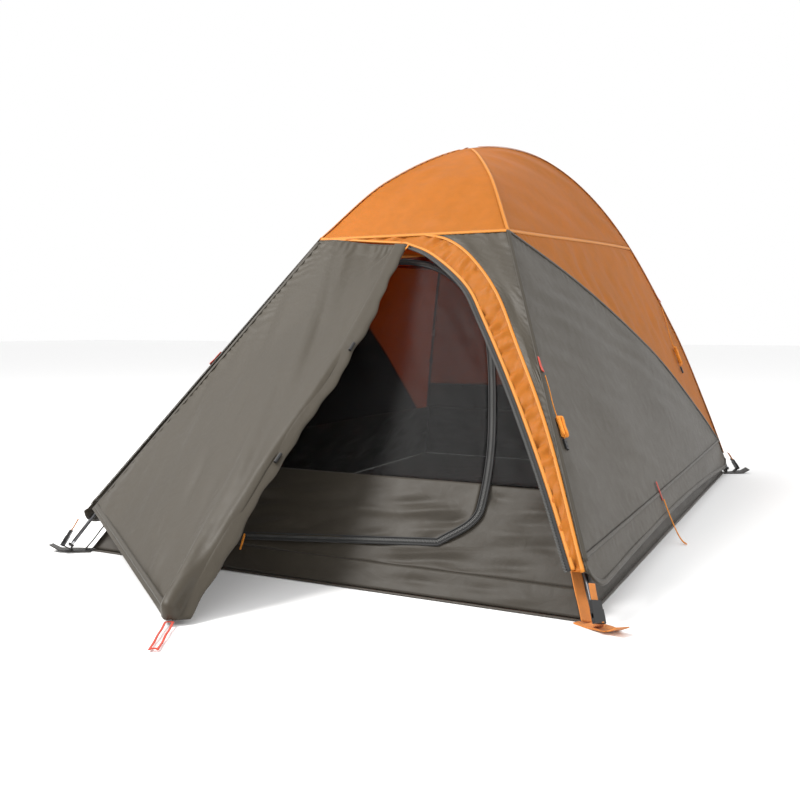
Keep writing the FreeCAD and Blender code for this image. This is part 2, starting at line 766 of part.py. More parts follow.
def socket_body():
    """One side-release socket: a hollow block with a window in each side."""
    body = doc.addObject("PartDesign::Body", "socket_master")
    block = sketch(body, "socket_block", "XY_Plane", [(-BUCKLE_HALF, -BUCKLE_THIN, BUCKLE_HALF, BUCKLE_THIN)])
    pad(body, block, "Dimensions.socket_length")
    cavity = sketch(body, "socket_cavity", "XY_Plane", [(-10.5, -2.6, 10.5, 2.6)], 7)
    pocket(body, cavity, "Dimensions.socket_length")
    windows = [(-BUCKLE_HALF - 1, 1 - 3.4, -9, 3.4 - 1), (9, 1 - 3.4, BUCKLE_HALF + 1, 3.4 - 1)]
    pocket(body, sketch(body, "socket_windows", "XY_Plane", windows, 10), 9.0)
    doc.recompute()
    return body.Shape.copy()


def prong_body(name, placement):
    """One prong: two sprung arms and a rib in the socket, and a bar for the strap above it."""
    body = doc.addObject("PartDesign::Body", f"buckle_prong_{name}")
    top = SOCKET_LONG + 0.4
    head = sketch(body, f"head_{name}", "XY_Plane", [(-12.5, -3.6, 12.5, 3.6)], top)
    pad(body, head, "Dimensions.prong_length")
    slot = sketch(body, f"slot_{name}", "XY_Plane", [(-9, -1.2, 9, 1.2)], top + 6)
    pocket(body, slot, "Dimensions.prong_length")
    arms = [(-9.6, -2.1, -5.6, 2.1), (5.6, -2.1, 9.6, 2.1), (-1.6, -1.8, 1.6, 1.8)]
    pad(body, sketch(body, f"arms_{name}", "XY_Plane", arms, 9.5), top - 9.5)
    body.Placement = placement
    return keep(body, f"buckle_prong_{name}")


def buckle_tab(side, end, placement):
    """The webbing tab from the tongue up to the socket's lower end."""
    top = placement.multVec(vec(0, 0, -1.4))
    across = placement.Rotation.multVec(vec(1, 0, 0))
    foot = vec(side * (HALF_WIDE + 30), end * (HALF_LONG + 24), 2.9)
    return bar(foot, top, across, 17, dim("webbing_thick"))


socket_shape = socket_body()
frames = {name: buckle_frame(side, end) for name, side, end in CORNERS}
for name, side, end in CORNERS:
    patch = corner_patch(side, end) + [buckle_tab(side, end, frames[name])]
    solid_part(f"corner_patch_{name}", *patch)
sockets = []
for name, _, _ in CORNERS:
    copy = socket_shape.copy()
    copy.Placement = frames[name]
    sockets.append(copy)
solid_part("buckle_sockets", *sockets)
for name, _, _ in CORNERS:
    prong_body(name, frames[name])
    place = frames[name]
    strap_start = place.multVec(vec(0, 0, SOCKET_LONG + 0.4 + dim("prong_length") - 8))
    strap_end = place.multVec(vec(0, 0, SOCKET_LONG + dim("prong_length") + 34))
    across = place.Rotation.multVec(vec(1, 0, 0))
    solid_part(f"fly_strap_{name}", bar(strap_start, strap_end, across, 16, dim("webbing_thick")))

# ---------------------------------------------------------------- zippers


BAR_HIGH = 6.0  # centre of the slider's bridge bar, the pull's pivot


def slider_body(name, placement):
    """A zipper slider: a plate with a bridge for its pull."""
    body = doc.addObject("PartDesign::Body", name)
    plate = sketch(body, f"{name}_plate", "XY_Plane", [(-6, -4.5, 6, 4.5)])
    pad(body, plate, 1.6)
    bridge = sketch(body, f"{name}_bridge", "XY_Plane", [(-4.5, -1, 4.5, 1)], 1.6)
    pad(body, bridge, BAR_HIGH - 1.0)
    gap = sketch(body, f"{name}_gap", "XY_Plane", [(-2.4, -3, 2.4, 3)], 1.8)
    pocket(body, gap, BAR_HIGH - 2.4)
    body.Placement = placement
    return keep(body, name)


def pull_body(name, placement):
    """A short cord pull with an eye around the slider's bridge bar."""
    body = doc.addObject("PartDesign::Body", name)
    eye_half, hole_half, long = 2.8, 1.5, 38
    eye = sketch(body, f"{name}_eye", "XY_Plane", [(-1.8, -eye_half, 1.8, eye_half)], BAR_HIGH - eye_half)
    pad(body, eye, 2 * eye_half)
    hole = sketch(body, f"{name}_hole", "XY_Plane", [(-3, -hole_half, 3, hole_half)], BAR_HIGH - hole_half)
    pocket(body, hole, 2 * hole_half)
    strip = sketch(body, f"{name}_strip", "XY_Plane", [(-2.2, -long, 2.2, -eye_half)], BAR_HIGH - 1.2)
    pad(body, strip, 2.4)
    body.Placement = placement
    return keep(body, name)


SLIDER_OFF = 1.0
door_low_left, door_low_right = (inner_front.at(x, z) for x, z in reversed(DOOR_SILL))
zip_way = (door_low_right - door_low_left).normalize()
door_slider_at = inner_front.at(-193, mix(56, 106, (480 - 193) / 780) - 1, SLIDER_OFF)
slider_body("door_zip_slider", frame_at(door_slider_at, inner_front.out, zip_way))
pull_body("door_zip_pull", frame_at(door_slider_at, inner_front.out, zip_way))

ZIP_STRIP = 11
zip_inner = [(x - ZIP_STRIP * 0.75, z - ZIP_STRIP * 0.55) for x, z in ARCH_INNER]
zip_face = outline(on_front(ARCH_INNER), on_front(list(reversed(zip_inner))))
solid_part("vestibule_zip", extruded(zip_face, FLY_DROP))
arch_start, arch_next = fly_front.at(14, 796, SLIDER_OFF), fly_front.at(80, 770, SLIDER_OFF)
arch_way = (arch_next - arch_start).normalize()
slider_body("vestibule_zip_slider", frame_at(arch_start, fly_front.out, arch_way))
pull_body("vestibule_zip_pull", frame_at(arch_start, fly_front.out, arch_way))

toggles = []
for down in (0.36, 0.665):
    at = flap_point(0.985, down) + UP * 14
    way = (flap_point(0.985, down + 0.02) - flap_point(0.985, down - 0.02)).normalize()
    toggles.append(Part.makeCylinder(4, 26, at - way * 13, way))
solid_part("vestibule_toggles", *toggles)
doc.recompute()

# ---------------------------------------------------------------- webbing loops and guy lines


def ridge_loop(side, end, f):
    """A webbing loop sewn on a ridge, open enough for a guy line."""
    at = fly.ridge(side, end, f)
    way = (fly.ridge(side, end, f + 0.01) - fly.ridge(side, end, f - 0.01)).normalize()
    out = vec(side * 0.8, 0, 0.6).normalize()
    base = at + out * 2.5
    across = way.cross(out).normalize()
    strap = bar(base - way * 14, base + way * 14, across, 9, 1.4)
    hoop = bar(base + way * 13, base + way * 32 + out * 3, across, 9, 1.4)
    return strap.fuse(hoop)


GUY_FRONT, GUY_REAR = 0.695, 0.675
SIDE_LOOP_V = 0.382
loops = [ridge_loop(side, end, f) for side in (-1, 1) for end, f in ((-1, GUY_FRONT), (1, GUY_REAR))]
for side in (-1, 1):
    wall = fly.side_wall(side)
    low, high = wall(SIDE_LOOP_V, 0.985), wall(SIDE_LOOP_V, 0.955)
    out = vec(side * 0.9, 0, 0.44).normalize() * 2.4
    loops.append(bar(high + out, low + out, vec(0, 1, 0), 9, 1.4))
solid_part("fly_webbing_loops", *loops)


def on_side(side, v, f, off):
    """The point of a fly side wall at (v, f), moved straight out of the fabric by off."""
    wall = fly.side_wall(side)
    at = wall(v, f)
    normal = (wall(v, f + 0.002) - wall(v, f - 0.002)).cross(wall(v + 0.002, f) - wall(v - 0.002, f)).normalize()
    if normal.z < 0:
        normal = normal * -1
    return at + normal * off


def cord_tube(name, points, diameter):
    """A cord through points: straight runs joined by tangent arcs."""
    edges, radii = [], []
    start = points[0]
    for a, b, c in zip(points, points[1:], points[2:]):
        into, away = (b - a).normalize(), (c - b).normalize()
        half = math.acos(max(-1, min(1, into.dot(away)))) / 2
        reach = 0.45 * min((b - a).Length, (c - b).Length)
        radius = reach / math.tan(half)
        radii.append(radius)
        p, q = b - into * reach, b + away * reach
        centre = b + (away - into).normalize() * (radius / math.cos(half))
        middle = centre + (b - centre).normalize() * radius
        edges.append(Part.makeLine(start, p))
        edges.append(Part.Arc(p, middle, q).toShape())
        start = q
    edges.append(Part.makeLine(start, points[-1]))
    path = Part.Wire(edges)
    section = Part.Wire(Part.makeCircle(diameter / 2, points[0], (points[1] - points[0]).normalize()))
    tube = path.makePipeShell([section], True, True)
    share = tube.Volume / (path.Length * math.pi * diameter**2 / 4)
    print(name, "length", round(path.Length, 1), "radii", [round(r, 1) for r in radii], "volume", round(share, 3))
    return tube


def hank(start, end, radius):
    """The outer shape of a hank of cord: a bundle a little thinner at its ends."""
    way = end - start
    long = way.Length
    waist = ((0, 0.72), (0.1, 0.96), (0.35, 1), (0.5, 0.94), (0.65, 1), (0.9, 0.96), (1, 0.72))
    profile = [vec(0, 0, 0)] + [vec(radius * r, 0, long * t) for t, r in waist] + [vec(0, 0, long)]
    face = Part.Face(Part.makePolygon(profile + [profile[0]]))
    solid = face.revolve(vec(0, 0, 0), UP, 360)
    solid.Placement = frame_at(start, way, vec(0, 1, 0))
    return solid


def line_lock(start, way, flat):
    """A plastic adjuster: a plate with two holes for the line."""
    plate = Part.makeBox(12, 4.6, 25, vec(-6, -2.3, 0))
    for z in (6.5, 17.5):
        hole = Part.makeCylinder(1.9, 10, vec(0, -5, z), vec(0, 1, 0))
        plate = plate.cut(hole)
    plate = plate.makeChamfer(1.2, [e for e in plate.Edges if e.BoundBox.YLength > 4 and e.Length < 4.7])
    plate.Placement = frame_at(start, way, flat)
    return plate


CORD = dim("guy_cord")
HANK_RADIUS = 7.8
FRONT_GUY = [on_side(1, v, f, 3.6) for v, f in ((0.006, 0.7195), (0.0105, 0.7415), (0.009, 0.7635), (0.012, 0.784))]
REAR_GUY = [
    on_side(1, v, f, 3.6)
    for v, f in ((0.987, 0.699), (0.966, 0.7175), (0.947, 0.737), (0.923, 0.755), (0.905, 0.7745))
]
FRONT_HANK = [on_side(1, v, f, HANK_RADIUS + 1.2) for v, f in ((0.0135, 0.7885), (0.019, 0.8215))]
REAR_HANK = [on_side(1, v, f, HANK_RADIUS + 1.2) for v, f in ((0.902, 0.7795), (0.893, 0.8125))]
solid_part("guy_run_front", cord_tube("guy_run_front", FRONT_GUY, CORD))
solid_part("guy_hank_front", hank(*FRONT_HANK, HANK_RADIUS))
solid_part("guy_run_rear", cord_tube("guy_run_rear", REAR_GUY, CORD))
solid_part("guy_hank_rear", hank(*REAR_HANK, HANK_RADIUS))
locks = []
for upper, lower, (v, f) in ((*FRONT_HANK, (0.02, 0.8245)), (*REAR_HANK, (0.892, 0.8155))):
    start = on_side(1, v, f, 4.5)
    locks.append(line_lock(start, lower - upper, vec(0, 1, 0)))
solid_part("line_locks", *locks)

STAKE_CORD_V = 0.38
strand_top = [on_side(1, STAKE_CORD_V, f, 6.5) for f in (0.984, 1.006)]
first_strand = strand_top + [vec(691, -283, 27), vec(706, -291, 7), vec(718, -296, 2.4)]
second_strand = [p + vec(-1.5, 9, 0) for p in first_strand]
STAKE_CORD = first_strand + list(reversed(second_strand))
solid_part("side_stake_cord", cord_tube("side_stake_cord", STAKE_CORD, CORD))

failed = []
doc.recompute()
for obj in doc.Objects:
    if "Invalid" in obj.State or "Error" in obj.State:
        failed.append(obj.Label)
os.makedirs("parts", exist_ok=True)
for obj in PARTS:
    shape = obj.Shape
    if shape.isNull() or not shape.isValid() or not shape.Solids or obj.Label in failed:
        print("FAILED", obj.Label, obj.State)
        raise SystemExit(1)
for obj in PARTS:
    obj.Shape.exportStep(f"parts/{obj.Label}.step")
print(len(PARTS), "sub-parts written")
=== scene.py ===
"""The looks of a two-pole dome tent: fabrics, nets, webbing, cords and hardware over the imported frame.

Lengths are metres. The door faces -Y, and +X is to the right of the door.
"""

import json
import math

import bmesh
import bpy
import numpy as np
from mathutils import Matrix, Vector


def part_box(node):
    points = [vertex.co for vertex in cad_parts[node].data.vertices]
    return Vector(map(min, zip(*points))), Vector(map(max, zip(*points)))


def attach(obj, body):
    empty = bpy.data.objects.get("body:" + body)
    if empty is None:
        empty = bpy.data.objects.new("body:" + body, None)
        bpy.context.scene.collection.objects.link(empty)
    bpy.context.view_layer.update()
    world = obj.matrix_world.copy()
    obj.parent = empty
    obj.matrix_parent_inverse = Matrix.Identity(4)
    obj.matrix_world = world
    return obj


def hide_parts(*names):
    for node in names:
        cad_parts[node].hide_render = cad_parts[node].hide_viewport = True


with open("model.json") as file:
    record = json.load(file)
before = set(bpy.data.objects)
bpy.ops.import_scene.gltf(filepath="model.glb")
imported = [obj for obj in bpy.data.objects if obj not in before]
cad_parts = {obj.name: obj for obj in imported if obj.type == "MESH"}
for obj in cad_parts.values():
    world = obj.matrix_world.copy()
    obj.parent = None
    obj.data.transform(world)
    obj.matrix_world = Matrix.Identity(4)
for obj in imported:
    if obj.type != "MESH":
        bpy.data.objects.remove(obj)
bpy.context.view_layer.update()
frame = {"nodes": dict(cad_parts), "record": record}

# ---------------------------------------------------------------- camera, floor and light

CAMERA_AT = Vector((1.1068, -2.8951, 0.5783))
CAMERA_YAW = 0.48394
CAMERA_PITCH = 0.05473


def make_camera():
    data = bpy.data.cameras.new("view")
    data.lens = 42.49
    data.sensor_width = 36
    data.shift_x = 0.0485
    data.shift_y = -0.0261
    camera = bpy.data.objects.new("view", data)
    forward = Vector(
        (
            -math.sin(CAMERA_YAW) * math.cos(CAMERA_PITCH),
            math.cos(CAMERA_YAW) * math.cos(CAMERA_PITCH),
            -math.sin(CAMERA_PITCH),
        )
    )
    camera.location = CAMERA_AT
    camera.rotation_euler = forward.to_track_quat("-Z", "Y").to_euler()
    bpy.context.collection.objects.link(camera)
    bpy.context.scene.camera = camera


def area_light(name, at, target, size, power, colour=(1, 1, 1)):
    data = bpy.data.lights.new(name, "AREA")
    data.size = size
    data.energy = power
    data.color = colour
    light = bpy.data.objects.new(name, data)
    light.location = at
    light.rotation_euler = (Vector(target) - Vector(at)).to_track_quat("-Z", "Y").to_euler()
    bpy.context.collection.objects.link(light)


def make_studio():
    world = bpy.data.worlds.new("studio")
    world.use_nodes = True
    background = world.node_tree.nodes["Background"]
    background.inputs["Color"].default_value = (1, 1, 1, 1)
    background.inputs["Strength"].default_value = 1.0
    bpy.context.scene.world = world
    area_light("key", (-2.6, -3.0, 4.4), (0, 0, 0.4), 1.7, 330, (1, 0.985, 0.96))
    area_light("side", (4.0, -0.8, 3.0), (0, 0, 0.3), 2.0, 45)
    bpy.context.scene.view_settings.view_transform = "Standard"
    mesh = bpy.data.meshes.new("floor")
    mesh.from_pydata([(-30, -30, 0), (30, -30, 0), (30, 30, 0), (-30, 30, 0)], [], [(0, 1, 2, 3)])
    floor = bpy.data.objects.new("floor", mesh)
    floor.location.z = -0.0006
    bpy.context.collection.objects.link(floor)
    material = bpy.data.materials.new("paper")
    material.use_nodes = True
    paper = material.node_tree.nodes["Principled BSDF"]
    paper.inputs["Base Color"].default_value = (0.93, 0.93, 0.93, 1)
    paper.inputs["Roughness"].default_value = 0.9
    paper.inputs["Specular IOR Level"].default_value = 0.1
    mesh.materials.append(material)


make_camera()
make_studio()

# ---------------------------------------------------------------- materials


class Shader:
    """A material's nodes, with short calls for the ones used here."""

    def __init__(self, name):
        self.material = bpy.data.materials.new(name)
        self.material.use_nodes = True
        self.tree = self.material.node_tree
        self.base = self.tree.nodes["Principled BSDF"]
        coordinates = self.tree.nodes.new("ShaderNodeTexCoord")
        self.uv = coordinates.outputs["UV"]
        self.place = coordinates.outputs["Object"]

    def put(self, value, socket):
        if isinstance(value, bpy.types.NodeSocket):
            self.tree.links.new(value, socket)
        else:
            socket.default_value = value

    def maths(self, operation, a, b=0.0, c=0.0):
        node = self.tree.nodes.new("ShaderNodeMath")
        node.operation = operation
        for value, socket in zip((a, b, c), node.inputs):
            self.put(value, socket)
        return node.outputs[0]

    def noise(self, where, scale, detail=3.0, distortion=0.0):
        node = self.tree.nodes.new("ShaderNodeTexNoise")
        self.put(where, node.inputs["Vector"])
        node.inputs["Scale"].default_value = scale
        node.inputs["Detail"].default_value = detail
        node.inputs["Distortion"].default_value = distortion
        return node.outputs["Fac"]

    def cells(self, where, scale):
        node = self.tree.nodes.new("ShaderNodeTexVoronoi")
        node.feature = "DISTANCE_TO_EDGE"
        self.put(where, node.inputs["Vector"])
        node.inputs["Scale"].default_value = scale
        return node.outputs["Distance"]

    def threads(self, pitch, direction):
        """Parallel threads, pitch metres apart, across the piece's own map."""
        node = self.tree.nodes.new("ShaderNodeTexWave")
        node.bands_direction = direction
        self.put(self.uv, node.inputs["Vector"])
        node.inputs["Scale"].default_value = 2 * math.pi / 20 / pitch
        return node.outputs["Fac"]

    def ramp(self, value, low, high, low_in=0.0, high_in=1.0):
        """Colours from low to high as value goes from low_in to high_in."""
        node = self.tree.nodes.new("ShaderNodeValToRGB")
        self.put(value, node.inputs["Fac"])
        first, last = node.color_ramp.elements
        first.position, last.position = low_in, high_in
        first.color, last.color = (*low, 1), (*high, 1)
        return node.outputs["Color"]

    def bump(self, height, distance, strength, under=None):
        node = self.tree.nodes.new("ShaderNodeBump")
        node.inputs["Distance"].default_value = distance
        node.inputs["Strength"].default_value = strength
        self.put(height, node.inputs["Height"])
        if under is not None:
            self.put(under, node.inputs["Normal"])
        return node.outputs["Normal"]

    def map_range(self, value, low, high):
        node = self.tree.nodes.new("ShaderNodeMapRange")
        self.put(value, node.inputs["Value"])
        node.inputs["To Min"].default_value = low
        node.inputs["To Max"].default_value = high
        return node.outputs["Result"]

    def finish(self, **constants):
        names = {"rough": "Roughness", "metal": "Metallic", "specular": "Specular IOR Level"}
        names.update(sheen="Sheen Weight", coat="Coat Weight")
        for key, value in constants.items():
            self.base.inputs[names[key]].default_value = value
        return self.material


def tinted(colour, share):
    return tuple(min(1.0, c * share) for c in colour)


def woven(name, colour, rough=(0.42, 0.6), through=0.0, weave=0.0006, crinkle=0.35, sheen=0.08, stitched=None):
    """A thin woven cloth: fine threads, small crinkles, uneven dye, and light that comes through it."""
    s = Shader(name)
    clouds = s.noise(s.place, 2.2, 2.0)
    mottle = s.noise(s.place, 38.0, 4.0)
    threads = s.maths("MULTIPLY", s.threads(weave, "X"), s.threads(weave, "Y"))
    mixed = s.maths("ADD", s.maths("MULTIPLY", clouds, 0.55), s.maths("MULTIPLY", mottle, 0.3))
    mixed = s.maths("ADD", mixed, s.maths("MULTIPLY", threads, 0.15))
    shade = s.ramp(mixed, tinted(colour, 0.86), tinted(colour, 1.1), 0.3, 0.7)
    soft = s.noise(s.place, 17.0, 5.0, 1.2)
    normal = s.bump(threads, 0.0002, 0.25)
    normal = s.bump(soft, 0.004, crinkle, normal)
    if stitched is not None:
        rows, pitch = stitched
        across = s.tree.nodes.new("ShaderNodeSeparateXYZ")
        s.put(s.uv, across.inputs[0])
        along_dash = s.maths("FRACT", s.maths("DIVIDE", across.outputs[0], pitch))
        dash = s.maths("LESS_THAN", along_dash, 0.66)
        near = s.maths("COMPARE", s.maths("ABSOLUTE", across.outputs[1]), rows, 0.0006)
        stitch = s.maths("MULTIPLY", dash, near)
        mix = s.tree.nodes.new("ShaderNodeMix")
        mix.data_type = "RGBA"
        s.put(stitch, mix.inputs["Factor"])
        s.put(shade, mix.inputs[6])
        mix.inputs[7].default_value = (*tinted(colour, 0.55), 1)
        shade = mix.outputs[2]
        normal = s.bump(near, 0.0005, 0.6, normal)
    s.put(shade, s.base.inputs["Base Color"])
    s.put(s.map_range(mottle, *rough), s.base.inputs["Roughness"])
    s.put(normal, s.base.inputs["Normal"])
    s.base.inputs["Sheen Weight"].default_value = sheen
    s.base.inputs["Specular IOR Level"].default_value = 0.4
    if through:
        glow = s.tree.nodes.new("ShaderNodeBsdfTranslucent")
        s.put(shade, glow.inputs["Color"])
        s.put(normal, glow.inputs["Normal"])
        mix = s.tree.nodes.new("ShaderNodeMixShader")
        mix.inputs[0].default_value = through
        s.put(s.base.outputs[0], mix.inputs[1])
        s.put(glow.outputs[0], mix.inputs[2])
        s.put(mix.outputs[0], s.tree.nodes["Material Output"].inputs["Surface"])
    return s.material


def netting(name, colour, solid):
    """Fine insect net: small round holes, and a painted sheen along its crinkles, where the colour is lighter as the
    crinkle height rises.
    """
    s = Shader(name)
    edge = s.cells(s.uv, 620.0)
    thread = s.map_range(edge, solid + 0.22, solid - 0.22)
    soft = s.noise(s.place, 14.0, 4.0, 1.5)
    # painted sheen: the net's colour goes from 0.7x to 1.5x along the same crinkle noise that bumps it
    shade = s.ramp(soft, tinted(colour, 0.7), tinted(colour, 1.5), 0.3, 0.75)
    s.put(shade, s.base.inputs["Base Color"])
    s.put(thread, s.base.inputs["Alpha"])
    s.put(s.map_range(soft, 0.55, 0.7), s.base.inputs["Roughness"])
    s.put(s.bump(soft, 0.002, 0.3), s.base.inputs["Normal"])
    return s.finish(specular=0.3)


def webbing(name, colour):
    """Flat woven tape with a herringbone of coarse yarns."""
    s = Shader(name)
    yarns = s.maths("MULTIPLY", s.threads(0.0016, "DIAGONAL"), s.threads(0.0011, "Y"))
    wear = s.noise(s.place, 45.0, 5.0)
    mixed = s.maths("ADD", s.maths("MULTIPLY", yarns, 0.5), s.maths("MULTIPLY", wear, 0.5))
    s.put(s.ramp(mixed, tinted(colour, 0.7), tinted(colour, 1.15), 0.2, 0.75), s.base.inputs["Base Color"])
    s.put(s.bump(yarns, 0.0005, 0.7), s.base.inputs["Normal"])
    s.put(s.map_range(wear, 0.55, 0.8), s.base.inputs["Roughness"])
    return s.finish(sheen=0.15)


def braided(name, colour):
    """Round braided cord: two crossing sets of strands along its length."""
    s = Shader(name)
    strands = s.tree.nodes.new("ShaderNodeTexWave")
    strands.bands_direction = "DIAGONAL"
    s.put(s.place, strands.inputs["Vector"])
    strands.inputs["Scale"].default_value = 260.0
    strands.inputs["Distortion"].default_value = 1.5
    wear = s.noise(s.place, 60.0, 4.0)
    mixed = s.maths("ADD", s.maths("MULTIPLY", strands.outputs["Fac"], 0.5), s.maths("MULTIPLY", wear, 0.5))
    s.put(s.ramp(mixed, tinted(colour, 0.72), tinted(colour, 1.12), 0.25, 0.75), s.base.inputs["Base Color"])
    s.put(s.bump(strands.outputs["Fac"], 0.0004, 0.6), s.base.inputs["Normal"])
    s.put(s.map_range(wear, 0.55, 0.75), s.base.inputs["Roughness"])
    return s.finish(sheen=0.1)


def hard(name, colour, rough, metal=0.0, grain=260.0, worn=1.3):
    """Moulded plastic or metal with a fine grain, faint smudges and paler worn spots."""
    s = Shader(name)
    smudge = s.noise(s.place, 24.0, 4.0)
    fine = s.noise(s.place, grain, 2.0)
    s.put(s.ramp(smudge, tinted(colour, 0.85), tinted(colour, worn), 0.35, 0.8), s.base.inputs["Base Color"])
    s.put(s.map_range(smudge, rough - 0.08, rough + 0.1), s.base.inputs["Roughness"])
    s.put(s.bump(fine, 0.0002, 0.35), s.base.inputs["Normal"])
    return s.finish(metal=metal)


ORANGE = (0.70, 0.245, 0.018)
DARK = (0.043, 0.034, 0.021)
INNER_DARK = (0.034, 0.027, 0.018)
MATERIALS = {
    "orange_fabric": woven("orange_cloth", ORANGE, through=0.55, crinkle=0.3),
    "dark_fabric": woven("dark_cloth", DARK, through=0.05, crinkle=0.3),
    "inner_wall_fabric": woven("inner_cloth", INNER_DARK, rough=(0.48, 0.62), through=0.05, crinkle=0.35),
    "floor_fabric": woven("floor_cloth", (0.05, 0.04, 0.03), rough=(0.35, 0.5), crinkle=0.6),
    "dark_mesh": netting("net", (0.010, 0.010, 0.010), 0.16),
    "orange_webbing": webbing("orange_tape", (0.66, 0.21, 0.022)),
    "dark_webbing": webbing("dark_tape", (0.030, 0.026, 0.022)),
    "red_webbing": webbing("red_tape", (0.62, 0.05, 0.02)),
    "orange_cord": braided("orange_cord", (0.80, 0.27, 0.012)),
    "zipper_tape": webbing("zip_tape", (0.012, 0.012, 0.012)),
    "pole_aluminium": hard("anodised", (0.13, 0.13, 0.135), 0.32, 1.0),
    "elastic_cord": braided("elastic", (0.03, 0.03, 0.03)),
    "black_plastic": hard("acetal", (0.006, 0.006, 0.0065), 0.45),
    "zipper_metal": hard("dark_enamel", (0.02, 0.02, 0.022), 0.35, 0.6),
}
ORANGE_SEAM = woven("orange_seam", tinted(ORANGE, 0.94), through=0.15, crinkle=0.3, stitched=(0.0035, 0.004))
DARK_SEAM = woven("dark_seam", tinted(DARK, 0.9), crinkle=0.3, stitched=(0.0035, 0.004))
COIL = hard("nylon_coil", (0.075, 0.075, 0.072), 0.5)
BRIGHT = hard("bright_tube", (0.62, 0.63, 0.65), 0.3, 1.0)
for node in frame["nodes"].values():
    name = next(p["material_slot"] for p in frame["record"]["subparts"] if p["node"] == node.name)
    for slot in node.material_slots:
        slot.material = MATERIALS[name]
for name in ("pole_ferrules", "pole_tips"):
    for slot in frame["nodes"][name].material_slots:
        slot.material = BRIGHT

# ---------------------------------------------------------------- the vault, as in the frame

HALF_WIDE, HALF_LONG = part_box("tub_floor")[1][0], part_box("tub_floor")[1][1]
FLOOR_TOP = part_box("tub_floor")[1][2]
APEX_Y = -0.055
CROWN_TILT = 0.275
SEAM = 0.437
SIDE_SEAM = 0.565
SEAM_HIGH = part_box("fly_front_panel")[1][2]
CORNER_HIGH = 0.101
APEX_PATCH = 0.03


def mix(a, b, share):
    return a + (b - a) * share


def height_curve(points, start_slope):
    """A smooth height over plan fraction through (fraction, height) points."""
    f = np.array([p[0] for p in points])
    h = np.array([p[1] for p in points])
    last = len(points) - 1
    ends = [(max(i - 1, 0), min(i + 1, last)) for i in range(last + 1)]
    slope = np.array([(h[b] - h[a]) / (f[b] - f[a]) for a, b in ends])
    slope[0] = start_slope

    def height(fraction):
        fraction = np.asarray(fraction, float)
        i = np.clip(np.searchsorted(f, fraction) - 1, 0, last - 1)
        span = f[i + 1] - f[i]
        t = (fraction - f[i]) / span
        a = 2 * t**3 - 3 * t**2 + 1
        b = t**3 - 2 * t**2 + t
        inside = a * h[i] + (1 - a) * h[i + 1] + span * (b * slope[i] + (t**3 - t**2) * slope[i + 1])
        return np.where(fraction > f[last], h[last] + slope[last] * (fraction - f[last]), inside)

    return height


def front_heights(apex, seam, corner):
    crown = height_curve(((0, apex), (0.25, mix(seam, apex, 0.585)), (SEAM, seam)), -CROWN_TILT)
    fall = (corner - seam) / (1 - SEAM)
    return lambda f: np.where(np.asarray(f) < SEAM, crown(f), seam + fall * (np.asarray(f) - SEAM))


def rear_heights(apex, corner, dip):
    shares = ((0.25, 0.9905), (0.5, 0.8155), (0.75, 0.4745), (0.9, 0.202))
    inner = tuple((f, mix(corner, apex, share) - dip * f) for f, share in shares)
    return height_curve(((0, apex),) + inner + ((1, corner),), CROWN_TILT)


class Vault:
    """Four walls that meet on the tent's two diagonals. Fraction 0 is the apex and 1 is a corner."""

    def __init__(self, front, rear, wide, long):
        self.front, self.rear, self.wide, self.long = front, rear, wide, long

    def ridge(self, side, end, f):
        f = np.asarray(f, float)
        height = self.front(f) if end < 0 else self.rear(f)
        return np.stack([side * self.wide * f, APEX_Y + (end * self.long - APEX_Y) * f, height], -1)

    def side_wall(self, side):
        return lambda v, f: mix(self.ridge(side, -1, f), self.ridge(side, 1, f), np.asarray(v)[..., None])

    def end_wall(self, end):
        return lambda v, f: mix(self.ridge(-1, end, f), self.ridge(1, end, f), np.asarray(v)[..., None])


fly = Vault(
    front_heights(1.146, SEAM_HIGH, CORNER_HIGH),
    rear_heights(1.146, 0.048, 0),
    HALF_WIDE + 0.005,
    HALF_LONG + 0.005,
)
inner = Vault(
    front_heights(1.088, 0.772, FLOOR_TOP + 0.002),
    rear_heights(1.088, FLOOR_TOP + 0.002, 0.012),
    HALF_WIDE - 0.006,
    HALF_LONG - 0.006,
)


class FrontPlane:
    """A vault's flat front wall below its roof seam, addressed by x and height."""

    def __init__(self, vault):
        self.top = vault.ridge(0, -1, SEAM)
        foot = vault.ridge(0, -1, 1)
        self.run, self.fall = foot[1] - self.top[1], foot[2] - self.top[2]
        self.out = np.array([0, self.fall, -self.run]) / math.hypot(self.fall, self.run)

    def at(self, x, z, off=0.0):
        x, z = np.broadcast_arrays(np.asarray(x, float), np.asarray(z, float))
        y = self.top[1] + self.run * (z - self.top[2]) / self.fall
        return np.stack([x, y, z], -1) + self.out * off


fly_front = FrontPlane(fly)
inner_front = FrontPlane(inner)

# ---------------------------------------------------------------- cloth

INSIDE = np.array([0.0, -0.05, 0.35])
GROUND_GAP = 0.001
UP = np.array([0.0, 0.0, 1.0])
THREAD_LIFT = 0.0012


def normals_of(points):
    du = np.gradient(points, axis=0)
    dv = np.gradient(points, axis=1)
    n = np.cross(du, dv)
    size = np.linalg.norm(n, axis=-1, keepdims=True)
    n = n / np.maximum(size, 1e-9)
    middle = points[points.shape[0] // 2, points.shape[1] // 2]
    facing = n[n.shape[0] // 2, n.shape[1] // 2]
    return n if np.dot(facing, middle - INSIDE) > 0 else -n


def area_of(points):
    a, b = points[1:, :-1] - points[:-1, :-1], points[:-1, 1:] - points[:-1, :-1]
    c, d = points[1:, :-1] - points[1:, 1:], points[:-1, 1:] - points[1:, 1:]
    return float((np.linalg.norm(np.cross(a, b), axis=-1) + np.linalg.norm(np.cross(c, d), axis=-1)).sum() / 2)


